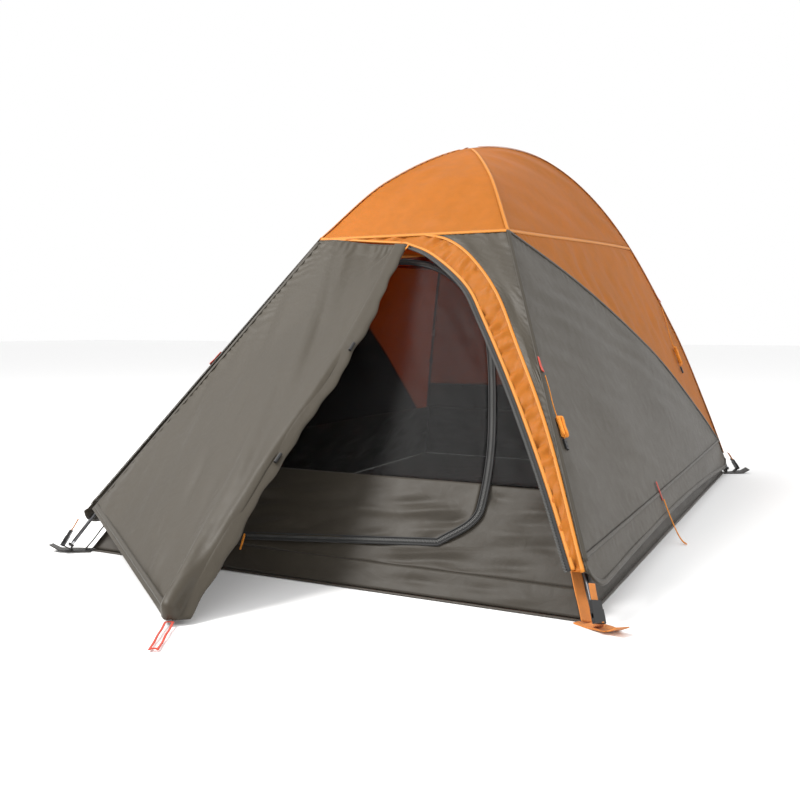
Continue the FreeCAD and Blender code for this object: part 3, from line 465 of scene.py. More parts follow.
def lengths_of(points):
    """The sheet's own width and length at every point, in metres."""
    du = np.linalg.norm(np.diff(points, axis=0), axis=-1)
    dv = np.linalg.norm(np.diff(points, axis=1), axis=-1)
    u = np.concatenate([np.zeros((1, points.shape[1])), np.cumsum(du, axis=0)])
    v = np.concatenate([np.zeros((points.shape[0], 1)), np.cumsum(dv, axis=1)], axis=1)
    return u, v


class Bundle:
    """Grids of points gathered into one mesh, each a closed thin sheet."""

    def __init__(self):
        self.verts, self.faces, self.uvs = [], [], []
        self.area = 0.0
        self.count = 0

    def add(self, points, thick, u, v):
        n = normals_of(points)
        cols, rows = points.shape[:2]
        points = np.concatenate([points[..., :2], np.maximum(points[..., 2:], GROUND_GAP)], -1)
        top = (points + n * (thick / 2)).reshape(-1, 3)
        low = (points - n * (thick / 2)).reshape(-1, 3)
        uv = np.stack([u, v], -1).reshape(-1, 2)
        index = np.arange(cols * rows).reshape(cols, rows) + self.count
        under = index + cols * rows
        a, b, c, d = index[:-1, :-1], index[1:, :-1], index[1:, 1:], index[:-1, 1:]
        quads = np.stack([a, b, c, d], -1).reshape(-1, 4)
        du, dv = points[1, 0] - points[0, 0], points[0, 1] - points[0, 0]
        middle = (cols // 2, rows // 2)
        du = points[min(middle[0] + 1, cols - 1), middle[1]] - points[middle[0] - 1, middle[1]]
        dv = points[middle[0], min(middle[1] + 1, rows - 1)] - points[middle[0], middle[1] - 1]
        if np.dot(np.cross(du, dv), n[middle]) < 0:
            quads = quads[:, ::-1]
        below = quads[:, ::-1] + cols * rows
        ring = np.concatenate([index[:, 0], index[-1, 1:], index[-2::-1, -1], index[0, -2:0:-1]])
        after = np.roll(ring, -1)
        rim = np.stack([ring, ring + cols * rows, after + cols * rows, after], -1)
        if np.dot(np.cross(du, dv), n[middle]) < 0:
            rim = rim[:, ::-1]
        del under
        self.verts += [top, low]
        self.uvs += [uv, uv]
        self.faces += [quads, below, rim]
        self.count += 2 * cols * rows
        self.area += area_of(points)

    def build(self, name, material):
        mesh = bpy.data.meshes.new(name)
        verts, faces = np.concatenate(self.verts), np.concatenate(self.faces)
        mesh.vertices.add(len(verts))
        mesh.vertices.foreach_set("co", verts.ravel())
        mesh.loops.add(faces.size)
        mesh.loops.foreach_set("vertex_index", faces.ravel())
        mesh.polygons.add(len(faces))
        mesh.polygons.foreach_set("loop_start", np.arange(0, faces.size, 4))
        layer = mesh.uv_layers.new(name="cloth")
        layer.data.foreach_set("uv", np.concatenate(self.uvs)[faces.ravel()].ravel())
        mesh.polygons.foreach_set("use_smooth", np.ones(len(faces), bool))
        mesh.update(calc_edges=True)
        mesh.validate()
        mesh.materials.append(material)
        piece = bpy.data.objects.new(name, mesh)
        bpy.context.collection.objects.link(piece)
        return piece


def waves(points, pitch, depth, seed, count=7):
    """Soft irregular swells about pitch apart."""
    rng = np.random.default_rng(seed)
    total = np.zeros(points.shape[:-1])
    for _ in range(count):
        way = rng.normal(size=3)
        way *= 2 * math.pi / (pitch * rng.uniform(0.7, 1.6)) / np.linalg.norm(way)
        total += np.sin(points @ way + rng.uniform(0, 6.28))
    return depth * total / math.sqrt(count)


def streaks(points, way, pitch, stretch, depth, seed, count=9):
    """Long narrow tension creases that run along way."""
    rng = np.random.default_rng(seed)
    way = np.asarray(way, float) / np.linalg.norm(way)
    total = np.zeros(points.shape[:-1])
    for _ in range(count):
        across = rng.normal(size=3)
        across -= way * (across @ way)
        across *= 2 * math.pi / (pitch * rng.uniform(0.6, 1.7)) / np.linalg.norm(across)
        lean = way * (2 * math.pi / (pitch * stretch) * rng.uniform(-1, 1))
        total += np.sin(points @ (across + lean) + rng.uniform(0, 6.28))
    total /= math.sqrt(count)
    return depth * (np.abs(total) ** 1.5 * np.sign(total))


def rays(points, centre, ways, width, reach, depth, start=0.02):
    """Creases that fan out of a pulled corner: each way is a direction, its depth and its reach's share."""
    centre = np.asarray(centre, float)
    offset = points - centre
    total = np.zeros(points.shape[:-1])
    for way, sign, share in ways:
        way = np.asarray(way, float) / np.linalg.norm(way)
        along = offset @ way
        aside = np.linalg.norm(offset - along[..., None] * way, axis=-1)
        spread = width * (0.35 + np.clip(along, 0, None) / (reach * share))
        fade = np.clip(along / start, 0, 1) * np.exp(-((np.clip(along, 0, None) / (reach * share)) ** 2))
        total += sign * fade * np.exp(-((aside / spread) ** 2)) * (along > 0)
    return depth * total


def pucker(points, u, v, depth, pitch, seed, edges="uUvV"):
    """Small gathers along sewn edges, deepest at the seam."""
    rng = np.random.default_rng(seed)
    wobble = waves(points, pitch * 5, 1.6, seed + 1)
    total = np.zeros(points.shape[:-1])
    long_u, long_v = u[-1:, :], v[:, -1:]
    table = {"u": (u, v), "U": (long_u - u, v), "v": (v, u), "V": (long_v - v, u)}
    for edge in edges:
        away, along = table[edge]
        fade = np.exp(-away / (1.6 * pitch))
        total += fade * np.sin(along * 2 * math.pi / pitch + wobble * 2.2 + rng.uniform(0, 6))
    return depth * total


def pinned(u, v, margin):
    """0 on the sheet's edges and 1 inside them, so that neighbours stay joined."""
    near = np.minimum(np.minimum(u, u[-1:, :] - u), np.minimum(v, v[:, -1:] - v))
    return np.clip(near / margin, 0, 1)


def sheet_points(surface, cols, rows, relief=None, lift=0.0, inset=0.0):
    """A grid of points on surface(s, t), with relief added along its normals."""
    s, t = np.meshgrid(np.linspace(0, 1, cols + 1), np.linspace(0, 1, rows + 1), indexing="ij")
    points = surface(s, t)
    n = normals_of(points)
    u, v = lengths_of(points)
    if inset:
        points = points - n * inset
    if relief is not None:
        points = points + n * relief(points, u, v)[..., None]
    return points + n * lift, u, v


def finish_piece(piece, body, slot, *nodes):
    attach(piece, body)
    if nodes:
        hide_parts(*nodes)
    return piece


def cloth(name, grids, slot, body="tent", nodes=(), thick=0.0009, material=None):
    """One sheet of fabric from grids of (points, u, v)."""
    bundle = Bundle()
    wide = long = flat_area = 0.0
    for points, u, v in grids:
        bundle.add(points, thick, u, v)
        wide = max(wide, float(u.max()))
        long = max(long, float(v.max()))
        flat_area += area_of(points)
    piece = bundle.build(name, material or MATERIALS[slot])
    finish_piece(piece, body, slot, *nodes)
    wide, long = max(wide, 0.02), max(long, 0.02)
    while wide * long < flat_area:
        wide *= 1.05
        long *= 1.05
    while wide * long * 0.32 > flat_area:
        wide *= 0.95
        long *= 0.95
    return piece


# ---------------------------------------------------------------- free cords


def side_point(v, f, off):
    """The point of the right side wall at (v, f), moved straight out of the fabric by off."""
    wall = fly.side_wall(1)
    at = lambda a, b: wall(np.array(a, float), np.array(b, float))
    normal = np.cross(at(v, f + 0.002) - at(v, f - 0.002), at(v + 0.002, f) - at(v - 0.002, f))
    normal /= np.linalg.norm(normal)
    return at(v, f) + normal * (off if normal[2] > 0 else -off)


def cord_curve(name, points, diameter):
    data = bpy.data.curves.new(name, "CURVE")
    data.dimensions = "3D"
    data.bevel_depth = diameter / 2
    data.bevel_resolution = 3
    data.resolution_u = 6
    spline = data.splines.new("NURBS")
    spline.points.add(len(points) - 1)
    for point, place in zip(spline.points, points):
        point.co = (*place, 1)
    spline.order_u = 3
    spline.use_endpoint_u = True
    data.materials.append(MATERIALS["orange_cord"])
    piece = bpy.data.objects.new(name, data)
    bpy.context.collection.objects.link(piece)
    return piece


def spline_length(points):
    """The length of the smooth cord that follows these points."""
    p = np.array(points, float)
    t = np.linspace(0, 1, 9)[:, None]
    total = 0.0
    for i in range(1, len(p) - 1):
        a = p[0] if i == 1 else (p[i - 1] + p[i]) / 2
        c = p[-1] if i == len(p) - 2 else (p[i] + p[i + 1]) / 2
        run = (1 - t) ** 2 * a + 2 * t * (1 - t) * p[i] + t**2 * c
        total += np.linalg.norm(np.diff(run, axis=0), axis=1).sum()
    return float(total)


CORD = 0.0026
HANK_RADIUS = 0.0078
FRONT_GUY = [side_point(v, f, 0.0036) for v, f in ((0.006, 0.7195), (0.0105, 0.7415), (0.009, 0.7635), (0.012, 0.784))]
REAR_GUY = [
    side_point(v, f, 0.0036)
    for v, f in ((0.987, 0.699), (0.966, 0.7175), (0.947, 0.737), (0.923, 0.755), (0.905, 0.7745))
]
FRONT_HANK = [side_point(v, f, HANK_RADIUS + 0.0012) for v, f in ((0.0135, 0.7885), (0.019, 0.8215))]
REAR_HANK = [side_point(v, f, HANK_RADIUS + 0.0012) for v, f in ((0.902, 0.7795), (0.893, 0.8125))]
GUY_LINE = 1.4


def hank_points(start, end, length, seed):
    """A hank's turns: each run lies across the bundle from the one before, inner layer first."""
    rng = np.random.default_rng(seed)
    way = end - start
    long = np.linalg.norm(way)
    way = way / long
    aside = np.cross(way, UP)
    aside /= np.linalg.norm(aside)
    out = np.cross(aside, way)
    points, made, i = [], 0.0, 0
    while made < length:
        core = i < 10
        radius = (0.0044 if core else 0.0078) * (1 + 0.1 * rng.uniform(-1, 1))
        turn = math.pi * (i % 2) + (0.62 if core else 0.39) * (i // 2) + 0.1 * rng.uniform(-1, 1)
        here = aside * math.cos(turn) * radius + out * math.sin(turn) * radius
        reach = 0.5 * long * (0.84 if core else 0.98 + 0.13 * rng.uniform(-1, 1))
        stops = (-0.95, -0.6, 0, 0.6, 0.95) if i % 2 == 0 else (0.95, 0.6, 0, -0.6, -0.95)
        for stop in stops:
            tuck = 0.8 if stop == 0 else 1.0
            points.append(start + way * (0.5 * long + reach * stop) + here * tuck)
        i += 1
        made = spline_length(points)
    return points


def build_guys():
    for name, run, hank_ends, v, f, seed in (
        ("front", FRONT_GUY, FRONT_HANK, 0.02, 0.8245, 3),
        ("rear", REAR_GUY, REAR_HANK, 0.892, 0.8155, 5),
    ):
        lock_at = side_point(v, f, 0.0045)
        stored = hank_points(*hank_ends, GUY_LINE - spline_length(run) - 0.012, seed)
        last = [lock_at + (lock_at - stored[-1]) * 0.25 + UP * 0.001, lock_at + (hank_ends[1] - hank_ends[0]) * 0.16]
        points = run + stored + last
        piece = cord_curve(f"guy_line_{name}", points, CORD)
        finish_piece(piece, "tent", "orange_cord", f"guy_run_{name}", f"guy_hank_{name}")
        tuple(run[0])
        spline_length(points)


def build_side_cord():
    top = [side_point(0.38, f, 0.0065) for f in (0.984, 1.006)]
    first = top + [np.array(p) for p in ((0.691, -0.283, 0.027), (0.706, -0.291, 0.007), (0.718, -0.296, 0.0024))]
    second = [p + np.array([-0.0015, 0.009, 0]) for p in first]
    points = first + second[::-1]
    piece = cord_curve("side_stake_line", points, CORD)
    finish_piece(piece, "tent", "orange_cord", "side_stake_cord")
    tuple(first[0])
    spline_length(points)


build_guys()
build_side_cord()

# ---------------------------------------------------------------- fly

BAND_TOP = (0.98, 0.962)
HEM_LOW = (1.03, 1.012)
REAR_SPLIT = 0.87
CORNERS = (("fl", -1, -1), ("fr", 1, -1), ("rl", -1, 1), ("rr", 1, 1))
FLY_INSET = 0.0012


def roof_seam(v):
    return mix(SEAM, SIDE_SEAM, v)


def band_top(v):
    return mix(BAND_TOP[0], BAND_TOP[1], v)


def colour_seam(v):
    return np.maximum(mix(SEAM, BAND_TOP[1], v) - 0.2 * v * (1 - v), roof_seam(v) + 0.001)


def band_seam(v):
    return np.maximum(band_top(v), colour_seam(v) + 0.001)


def hem(v):
    corner = np.clip(np.minimum(v, 1 - v) / 0.05, 0, 1)
    return 1 + (mix(HEM_LOW[0], HEM_LOW[1], v) - 0.056 * v * (1 - v) - 1) * corner * (2 - corner)


def rear_hem(v):
    return 1 + 0.01 * np.clip(np.minimum(v, 1 - v) / 0.06, 0, 1)


def between(wall, upper, lower):
    """The part of a wall between two edges, as a surface of width and depth shares."""
    return lambda s, t: wall(s, mix(upper(s), lower(s), t))


def constant(value):
    return lambda v: np.full_like(np.asarray(v, float), value)


def taut(seed, way=(0, 1, -0.5), swell=0.0012, crease=0.0010):
    """A stretched panel: almost flat, with faint long creases and gathers at its seams."""

    def relief(points, u, v):
        hold = pinned(u, v, 0.06)
        total = hold * waves(points, 0.32, swell * 2.2, seed)
        total += hold * streaks(points, way, 0.085, 7, crease * 2.2, seed + 1)
        return total + pucker(points, u, v, 0.0012, 0.022, seed + 2) * pinned(u, v, 0.006)

    return relief


def build_fly():
    roof_relief = [taut(11 + i, (0.4, 1, -0.3), 0.001, 0.0009) for i in range(4)]
    grids = []
    for i, side in enumerate((-1, 1)):
        surface = between(fly.side_wall(side), constant(APEX_PATCH), roof_seam)
        grids.append(sheet_points(surface, 84, 44, roof_relief[i], inset=FLY_INSET))
    for i, (end, seam) in enumerate(((-1, SEAM), (1, SIDE_SEAM))):
        surface = between(fly.end_wall(end), constant(APEX_PATCH), constant(seam))
        grids.append(sheet_points(surface, 50, 46, roof_relief[2 + i], inset=FLY_INSET))
    corners = [fly.ridge(side, end, APEX_PATCH) for side, end in ((-1, -1), (1, -1), (-1, 1), (1, 1))]
    patch = lambda s, t: mix(
        mix(corners[0], corners[1], s[..., None]), mix(corners[2], corners[3], s[..., None]), t[..., None]
    )
    grids.append(sheet_points(patch, 4, 4, inset=FLY_INSET))
    cloth("roof_cloth", grids, "orange_fabric", nodes=["fly_roof"])
    for side, name in ((-1, "left"), (1, "right")):
        wall = fly.side_wall(side)
        orange = between(wall, roof_seam, colour_seam)
        dark = between(wall, colour_seam, band_seam)
        band = between(wall, band_seam, hem)
        orange_grid = sheet_points(orange, 120, 50, taut(21 + side, (0, 0.1, -1), 0.0012, 0.0012), inset=FLY_INSET)
        dark_grid = sheet_points(dark, 150, 60, taut(31 + side, (0, 1, -0.35), 0.0012, 0.0007), inset=FLY_INSET)
        band_grid = sheet_points(band, 180, 10, taut(41 + side, (0, 1, 0), 0.0018, 0.0012), inset=FLY_INSET)
        cloth(
            f"side_orange_cloth_{name}", [orange_grid], "orange_fabric",
            nodes=[f"fly_side_orange_{name}"],
        )
        cloth(
            f"side_dark_cloth_{name}", [dark_grid], "dark_fabric",
            nodes=[f"fly_side_dark_{name}"],
        )
        nodes = ["fly_hem_bands"] if side > 0 else []
        cloth(f"hem_band_{name}", [band_grid], "dark_fabric", nodes=nodes)
    rear = fly.end_wall(1)
    upper = between(rear, constant(SIDE_SEAM), constant(REAR_SPLIT))
    lower = between(rear, constant(REAR_SPLIT), rear_hem)
    upper_grid = sheet_points(upper, 80, 50, taut(51, (0, 0.4, -1)), inset=FLY_INSET)
    lower_grid = sheet_points(lower, 90, 30, taut(52, (1, 0, -0.2)), inset=FLY_INSET)
    cloth("rear_upper_cloth", [upper_grid], "orange_fabric", nodes=["fly_rear_upper"])
    cloth("rear_lower_cloth", [lower_grid], "dark_fabric", nodes=["fly_rear_lower"])


def smooth_line(points, count):
    """A smooth line through points, evenly spaced along its length."""
    p = np.array(points, float)
    knots = np.concatenate([[0], np.cumsum(np.linalg.norm(np.diff(p, axis=0), axis=1) ** 0.5)])
    ext = np.concatenate([[2 * p[0] - p[1]], p, [2 * p[-1] - p[-2]]])
    dense = []
    for i in range(len(p) - 1):
        p0, p1, p2, p3 = ext[i : i + 4]
        t = np.linspace(0, 1, 40, endpoint=False)[:, None]
        dense.append(
            0.5 * (2 * p1 + (p2 - p0) * t + (2 * p0 - 5 * p1 + 4 * p2 - p3) * t**2 + (3 * p1 - p0 - 3 * p2 + p3) * t**3)
        )
    del knots
    dense = np.concatenate(dense + [p[-1:]])
    run = np.concatenate([[0], np.cumsum(np.linalg.norm(np.diff(dense, axis=0), axis=1))])
    want = np.linspace(0, run[-1], count)
    return np.stack([np.interp(want, run, dense[:, k]) for k in range(dense.shape[1])], -1)


ARCH_INNER = (
    (0, 0.806), (0.090, 0.770), (0.210, 0.686), (0.290, 0.590), (0.408, 0.430), (0.520, 0.264), (0.620, 0.101),
)
ARCH_OUTER = (
    (0.045, 0.833), (0.124, 0.813), (0.205, 0.762), (0.300, 0.668), (0.385, 0.545), (0.510, 0.352), (0.644, 0.101),
)
RIDGE_TOP_X = float(fly.ridge(1, -1, SEAM)[0])
RIDGE_LOW_X = float(fly.ridge(1, -1, 1)[0])


def rail(points, lead=None, count=141):
    """An edge as a function of a share of its length, with an optional straight lead-in."""
    line = smooth_line(points, count)
    if lead is not None:
        lead = np.stack([np.linspace(a, b, 36, endpoint=False) for a, b in zip(lead, points[0])], -1)
        line = np.concatenate([lead, line])
    share = np.linspace(0, 1, len(line))
    return lambda t: np.stack([np.interp(t, share, line[:, k]) for k in range(2)], -1)


def on_plane(plane, left, right, off=0.0):
    """The cloth between two edges of a flat front wall."""

    def surface(s, t):
        p = mix(left(t), right(t), s[..., None])
        return plane.at(p[..., 0], p[..., 1], off)

    return surface


def build_arch():
    lead = (-RIDGE_TOP_X, SEAM_HIGH - 0.001)
    inner_edge, outer_edge = rail(ARCH_INNER, lead), rail(ARCH_OUTER, lead)

    def band_relief(points, u, v):
        hold = pinned(u, v, 0.008)
        total = hold * streaks(points, (1, 0.5, 0.9), 0.026, 3, 0.0034, 61, 8)
        total += hold * waves(points, 0.09, 0.0012, 62)
        return total + pucker(points, u, v, 0.0012, 0.024, 63, "uU") * pinned(u, v, 0.004)

    band = sheet_points(on_plane(fly_front, inner_edge, outer_edge), 14, 230, band_relief, inset=FLY_INSET)
    cloth("arch_band_cloth", [band], "orange_fabric", nodes=["fly_arch_band"])
    outer = rail(ARCH_OUTER)
    ridge = lambda t: np.stack([mix(RIDGE_TOP_X, RIDGE_LOW_X, t), mix(SEAM_HIGH, CORNER_HIGH, t)], -1)
    wedge = sheet_points(on_plane(fly_front, outer, ridge), 26, 110, taut(64, (0.5, -0.4, -0.6)), inset=FLY_INSET)
    cloth("front_wedge_cloth", [wedge], "dark_fabric", nodes=["fly_front_panel"])


# ---------------------------------------------------------------- vestibule flap

FLAP_LIFT = 0.006
HINGE_TOP = fly_front.at(-0.278, 0.826, FLAP_LIFT)
HINGE_LOW = fly_front.at(-0.628, 0.108, FLAP_LIFT)
FREE_TOP = fly_front.at(0.004, 0.798, FLAP_LIFT)
FLAP_TIP = np.array([-0.068, -1.478, 0.011])
FREE_LOW = FLAP_TIP + (0.038, 0.034, 0)
FREE_BOW = 0.028
TOGGLE_DOWN = 0.68
ROLL_WIDE = 0.052


def flap_point(across, down):
    """The flap's surface: across from its sewn edge to its free edge, and down from the arch."""
    across, down = np.broadcast_arrays(np.asarray(across, float), np.asarray(down, float))
    a, d = across[..., None], down[..., None]
    sewn = mix(HINGE_TOP, HINGE_LOW, d)
    free = mix(FREE_TOP, FREE_LOW, d) + np.array([1.0, 0, 0]) * FREE_BOW * np.sin(
        math.pi * np.minimum(1, d / TOGGLE_DOWN)
    )
    bulge = (FLAP_TIP - mix(HINGE_LOW, FREE_LOW, 0.9)) * (d * np.minimum(1, a / 0.9))
    return mix(sewn, free, a) + bulge * np.minimum(1, (1 - a) / 0.1)


def roll_share(down):
    long = np.linalg.norm(flap_point(0.0, down) - flap_point(1.0, down), axis=-1)
    return np.minimum(ROLL_WIDE, 0.12 * long) / long


def build_flap():
    def surface(s, t):
        return flap_point(s * (1 - 0.55 * roll_share(t)), t)

    fan = []
    for x, y, z, sign, share in (
        (-0.28, 0.45, 0.50, 1, 1.0), (-0.20, 0.55, 0.55, -0.8, 0.9), (-0.10, 0.62, 0.55, 1.1, 1.25),
        (-0.36, 0.38, 0.40, -0.9, 0.8), (-0.42, 0.32, 0.30, 1, 0.7), (-0.02, 0.66, 0.55, -0.9, 1.0),
        (-0.15, 0.60, 0.56, 0.9, 0.7), (-0.48, 0.33, 0.18, -0.7, 0.6), (0.01, 0.70, 0.56, 0.8, 0.8),
    ):
        fan.append(((x, y, z), sign, share))
    top_fan = []
    for x, z, sign, share in ((0.05, -0.5, 1, 0.8), (-0.1, -0.6, -1, 1), (-0.25, -0.6, 0.8, 1), (-0.4, -0.5, -0.7, 0.9)):
        top_fan.append(((x, z * 0.8, z), sign, share))

    def relief(points, u, v):
        hold = pinned(u, v, 0.05)
        total = rays(points, FLAP_TIP, fan, 0.040, 1.0, 0.016) * np.clip(u / 0.05, 0, 1)
        total += rays(points, FREE_TOP + (-0.03, 0, 0), top_fan, 0.024, 0.6, 0.009) * pinned(u, v, 0.02)
        total += hold * waves(points, 0.30, 0.0045, 71)
        total += hold * streaks(points, FLAP_TIP - HINGE_TOP, 0.06, 7, 0.0020, 72)
        return total + pucker(points, u, v, 0.0016, 0.026, 73, "uv") * pinned(u, v, 0.006)

    grid = sheet_points(surface, 90, 150, relief)
    cloth("flap_cloth", [grid], "dark_fabric", "flap", ["vestibule_flap"])

    def roll_surface(s, t):
        """A flattened tube: s goes round it and t goes down it."""
        edge = flap_point(1.0, t)
        root = flap_point(1 - roll_share(t), t)
        inward = root - edge
        wide = np.linalg.norm(inward, axis=-1, keepdims=True)
        inward = inward / wide
        along = np.gradient(edge, axis=1)
        along /= np.linalg.norm(along, axis=-1, keepdims=True)
        out = np.cross(along, inward)
        out *= np.sign(out[..., 2:3] + 1e-9)
        wave = 0.0035 * np.sin(t * 31 + 0.6 * np.sin(t * 17)) + 0.002 * np.sin(t * 83 + 1)
        angle = 2 * math.pi * s[..., None]
        thick = 0.0048 + 0.0015 * np.sin(t * 23 + 1)[..., None]
        middle = wide * 0.5
        side = middle - (middle + wave[..., None] * (np.cos(angle) > 0)) * np.cos(angle)
        return edge + inward * side + out * thick * np.sin(angle) * (1 + 0.25 * np.cos(2 * angle))

    s, t = np.meshgrid(np.linspace(0, 1, 29), np.linspace(0.0, 1, 150), indexing="ij")
    tube = roll_surface(s, t)
    u, v = lengths_of(tube)
    cloth("flap_roll_cloth", [(tube, u, v)], "dark_fabric", "flap", ["vestibule_roll"])


# ---------------------------------------------------------------- inner tent

WALL_HIGH = 0.228
DOOR_CURVE = (
    (-0.205, 0.700), (-0.120, 0.746), (-0.017, 0.758), (0.096, 0.737), (0.200, 0.674),
    (0.276, 0.582), (0.318, 0.490), (0.366, 0.320), (0.380, 0.200), (0.368, 0.152),
)
DOOR_SILL = ((0.300, 0.106), (-0.480, 0.056))
ZIP_LINE = np.concatenate([smooth_line(DOOR_CURVE + (DOOR_SILL[0],), 150), smooth_line(DOOR_SILL, 60)[1:]])
DOOR_TOP = float(ZIP_LINE[:, 1].max())
DOOR_FOOT = float(ZIP_LINE[-1, 1])


def door_span(z):
    """The door's left and right edge at a height, from its zipper line and its straight hinge."""
    loop = np.concatenate([ZIP_LINE, ZIP_LINE[:1]])
    a, b = loop[:-1], loop[1:]
    z = np.atleast_1d(z)
    low = np.minimum(a[:, 1], b[:, 1])[None]
    high = np.maximum(a[:, 1], b[:, 1])[None]
    hit = (z[:, None] >= low) & (z[:, None] <= high)
    step = np.where(np.abs(b[:, 1] - a[:, 1]) < 1e-9, 1e-9, b[:, 1] - a[:, 1])
    x = a[:, 0] + (b[:, 0] - a[:, 0]) * (z[:, None] - a[:, 1]) / step
    left = np.where(hit, x, np.inf).min(axis=1)
    right = np.where(hit, x, -np.inf).max(axis=1)
    return left, right


def inner_side(z):
    """Half the inner front wall's width at a height."""
    f = SEAM + (0.772 - z) / (0.772 - FLOOR_TOP - 0.002) * (1 - SEAM)
    return (HALF_WIDE - 0.006) * f


def wall_strip(z_low, z_high, left, right, cols, rows, relief, lift=0.0):
    """A piece of the inner front wall between two edges that are functions of height."""
    span = np.linspace(z_high, z_low, 400)
    lefts, rights = left(span), right(span)

    def surface(s, t):
        z = mix(z_high, z_low, t)
        x0 = np.interp(-z, -span, lefts)
        x1 = np.interp(-z, -span, rights)
        return inner_front.at(mix(x0, x1, s), z)

    return sheet_points(surface, cols, rows, relief, lift=lift)


def slack(seed, way=(1, 0, 0.1), depth=0.004):
    """A loose panel with soft level folds."""

    def relief(points, u, v):
        hold = pinned(u, v, 0.03)
        total = hold * streaks(points, way, 0.05, 4, depth, seed, 8)
        return total + hold * waves(points, 0.16, depth * 0.8, seed + 1)

    return relief


DOOR_GAP = 0.0110
WALL_BACK = -0.0035  # the wall hangs behind the zipper, clear of its slider


def build_inner():
    eps = 0.0005
    left_of = lambda z: -inner_side(z)
    right_of = lambda z: inner_side(z)
    door_left = lambda z: door_span(z)[0]
    door_right = lambda z: door_span(z)[1]
    floor_z = FLOOR_TOP + 0.004
    folds = slack(81, (1, -0.05, 0.12), 0.0022)
    wall = [
        wall_strip(floor_z, DOOR_FOOT, left_of, right_of, 130, 10, folds, lift=WALL_BACK),
        wall_strip(DOOR_FOOT + eps, WALL_HIGH, left_of, door_left, 20, 34, folds, lift=WALL_BACK),
        wall_strip(DOOR_FOOT + eps, WALL_HIGH, door_right, right_of, 90, 44, folds, lift=WALL_BACK),
    ]
    cloth("inner_front_cloth", wall, "inner_wall_fabric", nodes=["inner_front_wall"])
    net = slack(83, (1, 0.4, -0.7), 0.0008)
    nets = [
        wall_strip(WALL_HIGH, DOOR_TOP - eps, left_of, door_left, 30, 60, net),
        wall_strip(WALL_HIGH, DOOR_TOP - eps, door_right, right_of, 30, 60, net),
        wall_strip(DOOR_TOP, 0.772, left_of, right_of, 60, 4, None),
    ]
    cloth("inner_front_net", nets, "dark_mesh", nodes=["inner_front_mesh"])
    left_in = lambda z: door_span(z)[0] + DOOR_GAP
    right_in = lambda z: np.maximum(door_span(z)[1] - DOOR_GAP, door_span(z)[0] + DOOR_GAP + 0.001)
    low, high = DOOR_FOOT + 0.006, DOOR_TOP - DOOR_GAP
    panel = wall_strip(low + 0.004, WALL_HIGH, left_in, right_in, 110, 40, slack(85, (1, 0, 0.15), 0.0034))
    door_net = wall_strip(WALL_HIGH, high, left_in, right_in, 80, 80, slack(87, (0.8, 0, -0.6), 0.0010))
    cloth("door_cloth", [panel], "inner_wall_fabric", "inner_door", ["door_panel"])
    cloth("door_net", [door_net], "dark_mesh", "inner_door", ["door_mesh"])

    fractions = np.linspace(0.3, 1, 400)
    wall_front = float(np.interp(-WALL_HIGH, -inner.front(fractions), fractions))
    wall_rear = float(np.interp(-WALL_HIGH, -inner.rear(fractions), fractions))
    wall_top = lambda v: mix(wall_front, wall_rear, v)
    low_grids, net_grids = [], []
    for side in (-1, 1):
        surface = inner.side_wall(side)
        low_grids.append(
            sheet_points(between(surface, wall_top, constant(1.0)), 150, 20, slack(91 + side, (0, 1, 0.05), 0.004), lift=-0.003)
        )
        net_grids.append(sheet_points(between(surface, roof_seam, wall_top), 110, 50, taut(95 + side), inset=0.001))
    cloth("inner_side_cloth", low_grids, "inner_wall_fabric", nodes=["inner_side_walls"])
    cloth("inner_side_nets", net_grids, "dark_mesh", nodes=["inner_side_meshes"])
    rear = inner.end_wall(1)
    rear_low = sheet_points(between(rear, constant(wall_rear), constant(1.0)), 90, 20, slack(97, (1, 0, 0), 0.004), lift=-0.003)
    rear_net = sheet_points(between(rear, constant(SIDE_SEAM), constant(wall_rear)), 60, 44, taut(98), inset=0.001)
    cloth("inner_rear_cloth", [rear_low], "inner_wall_fabric", nodes=["inner_rear_wall"])
    cloth("inner_rear_net", [rear_net], "dark_mesh", nodes=["inner_rear_mesh"])
    grids = []
    for side in (-1, 1):
        surface = between(inner.side_wall(side), constant(APEX_PATCH), roof_seam)
        grids.append(sheet_points(surface, 50, 30, taut(101 + side), inset=0.001))
    for end, seam in ((-1, SEAM), (1, SIDE_SEAM)):
        surface = between(inner.end_wall(end), constant(APEX_PATCH), constant(seam))
        grids.append(sheet_points(surface, 36, 30, taut(105 + end), inset=0.001))
    cloth("inner_roof_cloth", grids, "orange_fabric", nodes=["inner_roof"])
    x, y = HALF_WIDE - 0.001, HALF_LONG - 0.001
    ground = lambda s, t: np.stack([mix(-x, x, s), mix(-y, y, t), np.full_like(s, FLOOR_TOP - 0.001)], -1)

    def floor_relief(points, u, v):
        return pinned(u, v, 0.08) * (0.0016 + waves(points, 0.14, 0.0011, 111) + streaks(points, (1, 0.6, 0), 0.06, 4, 0.0009, 112))

    floor = sheet_points(ground, 110, 180, floor_relief)
    cloth("floor_cloth", [floor], "floor_fabric", nodes=["tub_floor"], thick=0.0016)


build_fly()
build_arch()
build_flap()
build_inner()

# ---------------------------------------------------------------- seams, zips, webbing and small trim


